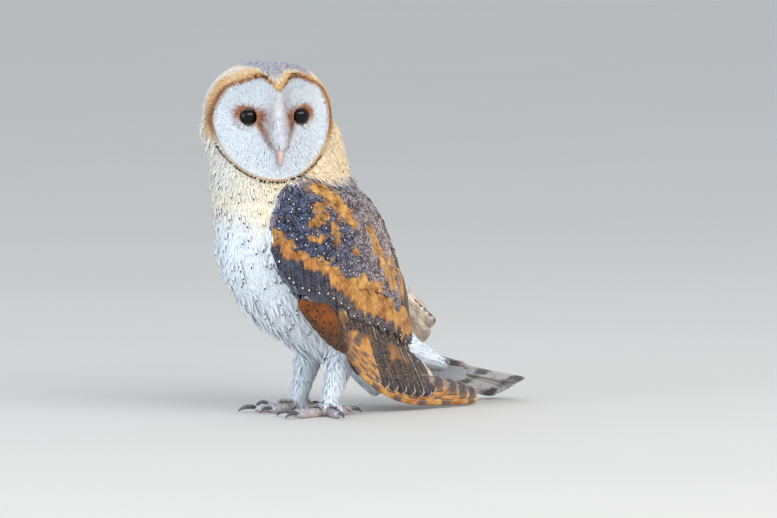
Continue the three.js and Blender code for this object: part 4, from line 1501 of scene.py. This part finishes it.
# %% [markdown]
# The long feathers' finishes share their speckle, their bars and their streaks. Each kind
# then has its own pattern, laid over in a few mixes. Wing feathers are pale below, and so is
# the tail, with a few dusky bars.

# %% What the long feathers' finishes share
class Vane(Finish):
    """The finish of one kind of long feather. bars is the distance between its bars."""

    def __init__(self, kind, bars):
        super().__init__(kind, Specular_IOR_Level=0.3, Sheen_Weight=0.08, Sheen_Roughness=0.4)
        self.spot, self.vane = self.place(), self.read("vane", "Vector")
        self.seed, self.across, self.under = (self.read(key) for key in ("seed", "across", "under"))
        self.from_shaft = self.split(self.vane)
        self.away = self.from_shaft.beside("Y")
        fine = self.noise(self.spot, 1000, 2, 0.6)
        self.hatch = self.noise(self.vane * (0.5, 1.5, 1.0), 1.1, 2, 0.6)
        self.speckle = (fine * 0.45 + self.hatch * 0.55).step(0.43, 0.58)
        self.cloud = self.noise(self.spot, 110, 3)
        self.strands = self.noise(self.vane * (1.4, 0.2, 1.0), 1.0, 3, 0.6)
        self.wave = self.noise(self.vane, 0.16, 2)
        turn = self.away / bars + self.wave * 0.35 + (self.strands + self.speckle) * 0.06
        self.bar = 1 - abs(turn.fraction() - 0.5).step(0.1, 0.24)
        self.slate = self.speckled((24, 22, 28), (104, 98, 104))
        self.orange = self.streaked(PALE_GOLD, RUFOUS, 0.55, 0.6, 0.4, 0.74)

    def speckled(self, dark, pale):
        return self.mix(tint(*dark), tint(*pale), self.speckle)

    def streaked(self, first, second, clouds, strands, low, high):
        share = self.cloud * clouds + self.strands * strands
        return self.mix(first, second, share.step(low, high))


# %% Secondaries and primaries
def secondaries(v):
    """Finely mottled brown and slate, tawny or golden towards the root, with a painted shadow line along the
    outer edge.
    """
    patches = (v.cloud * 0.7 + v.wave * 0.5).step(0.56, 0.72) * 0.7
    colour = v.speckled((26, 21, 22), (122, 99, 82))
    colour = v.mix(colour, v.slate, (patches + (1 - v.away.step(5, 22)) * 0.4).least(1.0))
    tawny = v.noise(v.spot, 55, 2).step(0.54, 0.66) * v.away.step(14, 26)
    colour = v.mix(colour, v.orange, tawny * (0.3 + v.strands * 0.6))
    colour = v.mix(colour, tint(46, 42, 50), v.bar * 0.35)
    golden = (v.read("gold") + v.away.step(38, 56) * 0.5) * (v.strands + 0.5)
    colour = v.mix(colour, v.orange, golden.step(0.5, 0.9))
    # Painted shadow: a dark line down each feather's outer edge stands for the shade between it and the next
    # feather.
    return v.mix(colour, tint(26, 23, 27), (1 - v.across.step(-0.9, -0.5)) * 0.85)


def primaries(v):
    """Orange with slate bars, and a worn inner web near the tip."""
    worn = v.across.step(0.15, 0.5) * (1 - v.away.step(22, 40)) * 0.85
    colour = v.mix(v.orange, v.speckled((112, 96, 94), (184, 168, 160)), worn)
    return v.mix(colour, v.slate, v.bar * (0.7 + v.speckle * 0.25))


def pale_below(v, colour):
    """The pale underside of a wing feather, and painted shade at its root: the root is darkened to slate
    above, as if in the shadow of the feathers over it.
    """
    pale = v.streaked(tint(246, 232, 214), tint(196, 166, 138), 0.5, 0.6, 0.42, 0.7)
    dusk = (v.bar * 0.4 + (1 - v.away.step(4, 14)) * 0.3) * (0.4 + v.speckle * 0.6)
    colour = v.mix(colour, v.mix(pale, tint(138, 124, 120), dusk), v.under.step(0.02, 0.12))
    # Painted shade: near the root each feather fades to slate, standing for the shadow under the coverts.
    return v.mix(colour, v.slate, (1 - v.read("along").step(0.03, 0.17)) * 0.85)


# %% Greater coverts and primary coverts, their finish
def greater_coverts(v):
    """Golden with a slate end, and on most a white dot near the tip."""
    rough = (v.strands - 0.5) * 9.0 + (v.hatch - 0.5) * 3.0 + abs(v.across) * 4.0
    slaty = v.read("slate")
    grey = v.mix(speckled(v, v.vane, v.spot, slaty), tint(40, 34, 34), 0.55)
    band = v.mix(v.streaked(DEEP_GOLD, UMBER, 0.55, 0.6, 0.4, 0.72), RUFOUS, slaty * 0.5)
    colour = v.mix(grey, band, (v.away + rough - v.read("dark")).step(-1.5, 1.5))
    ring, dot = dot_at(v, v.from_shaft, v.away, 2.6, 1.2)
    most = v.seed.step(0.3, 0.32)
    colour = v.mix(colour, tint(24, 22, 28), ring * most)
    return v.mix(colour, tint(230, 226, 228), dot * most)


def primary_coverts(v):
    """Deep rust, dusky towards the tip, with a dark spot every so often."""
    apart = 11.0
    rufous = v.streaked(tint(140, 76, 24), tint(88, 48, 20), 0.5, 0.5, 0.4, 0.62)
    share = (v.away - v.across * 5.0 + (v.cloud - 0.5) * 26).step(9, 26)
    colour = v.mix(v.speckled((44, 32, 30), (104, 70, 48)), rufous, share)
    ring, _ = dot_at(v, v.from_shaft, (v.away / apart + v.seed).fraction() * apart, apart / 2, 0.9)
    return v.mix(colour, tint(30, 20, 20), ring * 0.85)


# %% The tail's finish
def tail_coverts(v):
    """Pale gold with a grey end above, white below."""
    gold = v.mix(v.orange, tint(222, 212, 198), 0.4)
    colour = v.mix(gold, v.slate, (1 - v.away.step(2, 9)) * 0.6)
    return v.mix(colour, WHITE, v.under.step(0.3, 0.6))


def tail_feathers(v):
    """Barred above, nearly white with dusky blotches and a dusky end below."""
    top = v.mix(v.mix(v.orange, tint(226, 220, 212), 0.76), v.slate, v.bar * 0.75)
    lower = v.mix(tint(240, 241, 244), tint(222, 214, 208), v.cloud.step(0.5, 0.7))
    dusky = v.speckled((44, 40, 45), (128, 122, 128))
    blotch = v.bar * (1.1 - abs(v.across).step(0.2, 0.9) * 0.6) * (0.5 + v.cloud)
    blotch = blotch * (0.6 + v.strands * 0.6)
    lower = v.mix(lower, dusky, blotch.step(0.3, 0.8) * 0.85)
    end = (1 - v.away.step(6, 18)) * (v.cloud * 0.7 + v.hatch * 0.5).step(0.46, 0.7)
    return v.mix(top, v.mix(lower, dusky, end), v.under)


# %% One finish for each kind
FLIGHT = ("secondaries", "primaries")
KINDS = {  # its pattern, the distance between its bars, and how much its shaft shows
    "secondaries": (secondaries, 21.0, 0.14),
    "primaries": (primaries, 25.0, 0.3),
    "greater_coverts": (greater_coverts, 25.0, 0.1),
    "primary_coverts": (primary_coverts, 20.0, 0.0),
    "tail": (tail_feathers, 30.0, 0.3),
    "tail_coverts": (tail_coverts, 30.0, 0.3),
}


def flight_finish(kind, pattern, bars, shaft):
    v = Vane(kind, bars)
    colour = pattern(v)
    if kind in FLIGHT:
        colour = pale_below(v, colour)
    if kind in FLIGHT or kind == "tail":
        fringe = abs(v.across).step(0.9, 0.98) * (1 - v.away.step(3, 12)) + (1 - v.away.step(0.6, 1.5))
        colour = v.mix(colour, tint(226, 220, 214), fringe.least(1.0) * 0.6)
    if shaft:
        colour = v.mix(colour, tint(200, 184, 164), (1 - abs(v.across).step(0.03, 0.07)) * shaft)
    ripple = v.bump(v.noise(v.vane * (1.0, 5.0, 1.0), 1.3, 1), 0.25, 0.0004)
    return v.wear(Base_Color=colour * (0.94 + v.seed * 0.1), Roughness=0.6 + v.cloud * 0.2, Normal=ripple)


finishes = {kind: flight_finish(kind, *look) for kind, look in KINDS.items()}
print("finishes:", *finishes)


# %% The wings' long feathers
def wing_sheet(wing, layer):
    """Takes along, across and depth to X, Y, Z on one layer of a folded wing."""

    def place(along, across, depth):
        y, z = on_wing(wing, layer, along, across)
        x = wing["hand"] * (wing_face(wing, along, across) - depth)
        return np.stack([x, y, z], -1)

    return place


def behind(tips, long, turn):
    """Roots that lie long behind their tips, at an angle to the wing in degrees."""
    tips, long, turn = np.array(tips, float), np.array(long, float), np.radians(turn)
    return tips - np.stack([long * np.cos(turn), -long * np.sin(turn)], 1)


OUTER_TIPS = [(122, -4), (131, -1.5), (140, 1), (149, 3.5), (158, 6.5), (166, 9.5), (174, 13)]
INNER_TIPS = {
    "left": [(182, 17), (189, 22), (192, 27), (182, 33), (168, 39), (152, 46), (134, 57), (116, 66)],
    "right": [(182, 19), (189, 27), (191, 35), (184, 43), (170, 48), (150, 53), (131, 57), (106, 57)],
}
TURNS = {"left": (24, 40), "right": (24, 7)}
PRIMARY_TIPS = [(246, -1), (237, 2.2), (226, 4.8), (212, 7.5), (198, 9), (184, 11), (170, 14), (156, 16)]
for name, wing in WINGS.items():
    tips = OUTER_TIPS + INNER_TIPS[name]
    count = len(tips)
    long = np.interp(np.arange(count), [0, 9, count - 1], [62, 96, 40])
    roots = behind(tips, long, np.linspace(*TURNS[name], count))
    lay_sheets(
        f"secondaries_{name}", wing_sheet(wing, "coverts"), roots, tips, 4.6, 11.5,
        np.linspace([3.2, 4.6], [2.2, 2.2], count), finishes["secondaries"],
        bow=-2.0, pale_from=0.7, marks={"gold": golden_wing},
    )
    count = len(PRIMARY_TIPS)
    roots = np.linspace([92, -1.5], [84, 9], count)
    long_feathers = lay_sheets(
        f"primaries_{name}", wing_sheet(wing, "tip"), roots, PRIMARY_TIPS, 3.2, 11,
        np.linspace([4.2, 6.2], [3.0, 4.6], count), finishes["primaries"],
        seed=32, camber=0.5,
    )
    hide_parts(f"flight_feathers_{name}")

# %% [markdown]
# The greater coverts lie in one row over the secondaries' bases: golden, with slate tips. A
# rufous panel of primary coverts shows below them at the wing's front edge.

# %% Greater coverts and primary coverts
along = np.array([0, 6, 12, 19, 26, 33, 40, 47, 54, 61, 68, 76, 84, 92, 100, 109, 118, 127, 137, 147, 156])
rng = np.random.default_rng(37)
tips = np.stack([along, covert_end(along) - 0.6], 1)
tips = tips + rng.uniform(-1.3, 1.3, tips.shape) * soft_step(along, 0, 20)[:, None]
long = np.interp(along, [0, 12, 34, 60, 150], [14, 22, 32, 38, 40])
turn = np.interp(along, [0, 12, 24, 60, 90, 110, 150], [62, 50, 42, 33, 24, 18, 17])
roots = behind(tips, long, turn)
dark = np.interp(along, [0, 18, 34, 48, 62, 80, 100, 150], [9, 17, 20, 18, 15, 14, 12, 10])
dark = dark * rng.uniform(0.8, 1.25, len(dark))
rust_tips = [(60, -3.5), (68, -4.5), (76, -5), (84, -5), (91, -4), (97, -2)]
rust_roots = behind(rust_tips, [24, 30, 36, 42, 46, 48], [8, 9, 10, 12, 14, 16])
for name, wing in WINGS.items():
    lay_sheets(
        f"greater_coverts_{name}", wing_sheet(wing, "coverts"), roots, tips, 4.2, 7.0,
        np.linspace([1.8, 1.4], [1.6, 0.6], len(tips)), finishes["greater_coverts"],
        seed=34, camber=0.6, marks={"slate": slate_wing}, each={"dark": dark},
    )
    lay_sheets(
        f"primary_coverts_{name}", wing_sheet(wing, "coverts"), rust_roots, rust_tips, 3.5, 8.5,
        np.linspace([3.6, 3.6], [3.2, 3.4], len(rust_tips)), finishes["primary_coverts"],
        seed=35, camber=0.5,
    )


# %% The tail
TAIL_LONG, TAIL_STEPS = 122.0, 59
TAIL_ROOT = (76, 47)


def tail_sheet(across, along, depth):
    """Takes a place on the tail to X, Y, Z. It slopes down, less and less, and is rolled a
    little to one side."""
    fine = np.linspace(0, 1, TAIL_STEPS + 1)
    slope = np.radians(blend(24, 10.5, fine))
    step = TAIL_LONG / TAIL_STEPS
    y = TAIL_ROOT[0] + np.concatenate([[0], np.cumsum(np.cos(slope) * step)[:-1]])
    z = TAIL_ROOT[1] - np.concatenate([[0], np.cumsum(np.sin(slope) * step)[:-1]])
    share = np.clip(along / TAIL_LONG, 0, 1)
    lean = np.interp(share, fine, slope)
    lift = -across * across / 260 - depth
    roll = math.radians(25) * soft_step(share, 0, 0.6)
    side = across * np.cos(roll) - lift * np.sin(roll)
    rise = across * np.sin(roll) + lift * np.cos(roll)
    y = np.interp(share, fine, y) + rise * np.sin(lean)
    return np.stack([side, y, np.interp(share, fine, z) + rise * np.cos(lean)], -1)


ranks = np.arange(-5.5, 6)
tail_tips = np.stack([ranks * 3.4, 119 - 0.2 * ranks**2], 1)
tail_roots = np.stack([ranks * 1.5, np.full(len(ranks), 18.0)], 1)
layers = np.abs(ranks) * 0.42 - 1.0
tail = lay_sheets(
    "tail_feathers", tail_sheet, tail_roots, tail_tips, np.where(ranks > 0, 4.5, 14.0),
    np.where(ranks > 0, 14.0, 4.5), np.stack([layers, layers], 1), finishes["tail"],
    seed=33, camber=0.4,
)
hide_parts("tail")
places = np.concatenate([np.arange(-3, 4), np.arange(-2.5, 3)])
ends = np.array([58, 64, 67, 69, 67, 64, 58, 50, 55, 58, 58, 55, 50])
for name, deep in {"over_tail": (-3.4, -1.9), "under_tail": (3.6, 2.7)}.items():
    roots, tips = np.stack([places * 3.0, ends - 36], 1), np.stack([places * 3.9, ends], 1)
    lay_sheets(
        name, tail_sheet, roots, tips, 4.6, 4.6, deep, finishes["tail_coverts"],
        seed=36, camber=0.3,
    )


# %% [markdown]
# ## The floor and the light
# A pale floor runs far back, so it is the background too. Two lamps have the shape of soft
# boxes: a wide warm one above the owl's left side, and a square cool one before its breast.
# Their light is kept to a cone, so that the floor behind stays darker than the owl. A
# slightly blue sky lights the rest, and the camera sees plain grey beyond the floor.

# %% Floor, lamps and sky
floor_finish = Finish("pale_floor", Roughness=0.9)
grain = floor_finish.noise(floor_finish.place(), 3.0)
floor_finish.wear(Base_Color=floor_finish.mix(tint(210, 208, 205), tint(205, 203, 200), grain))
shape = bmesh.new()
bmesh.ops.create_grid(shape, x_segments=8, y_segments=8, size=30)
floor_mesh = bpy.data.meshes.new("floor")
shape.to_mesh(floor_mesh)
shape.free()
floor_mesh.materials.append(floor_finish.material)
floor = placed("floor", floor_mesh)
HEART = Vector((0, 0, 0.14))
LAMP_SPREAD = math.radians(110)


def soft_lamp(name, place, width, height, watts, colour):
    """A lamp that points at the owl's heart. Its place and size are in metres."""
    lamp = bpy.data.lights.new(name, "AREA")
    lamp.shape, lamp.spread = "RECTANGLE", LAMP_SPREAD
    lamp.size, lamp.size_y, lamp.energy, lamp.color = width, height, watts, colour
    turn = (Vector(place) - HEART).to_track_quat("Z", "Y")
    placed(name, lamp).matrix_world = Matrix.Translation(place) @ turn.to_matrix().to_4x4()


soft_lamp("key_lamp", (2.1, 0.0, 1.5), 3.0, 0.8, 20, (1.0, 0.96, 0.9))
soft_lamp("fill_lamp", (0.3, -2.6, 0.9), 1.8, 1.8, 13, (0.82, 0.93, 1.0))
sky = bpy.data.worlds.new("sky")
sky.use_nodes = True
nodes, links = sky.node_tree.nodes, sky.node_tree.links
nodes["Background"].inputs["Color"].default_value = (0.88, 0.94, 1.0, 1.0)
nodes["Background"].inputs["Strength"].default_value = 0.8
distance = nodes.new("ShaderNodeBackground")
distance.inputs["Color"].default_value = (0.49, 0.51, 0.525, 1.0)
seen, both = nodes.new("ShaderNodeLightPath"), nodes.new("ShaderNodeMixShader")
links.new(seen.outputs["Is Camera Ray"], both.inputs[0])
links.new(nodes["Background"].outputs[0], both.inputs[1])
links.new(distance.outputs[0], both.inputs[2])
links.new(both.outputs[0], nodes["World Output"].inputs["Surface"])
bpy.context.scene.world = sky
bpy.context.scene.view_settings.view_transform = "Standard"
print("lamps and sky placed")
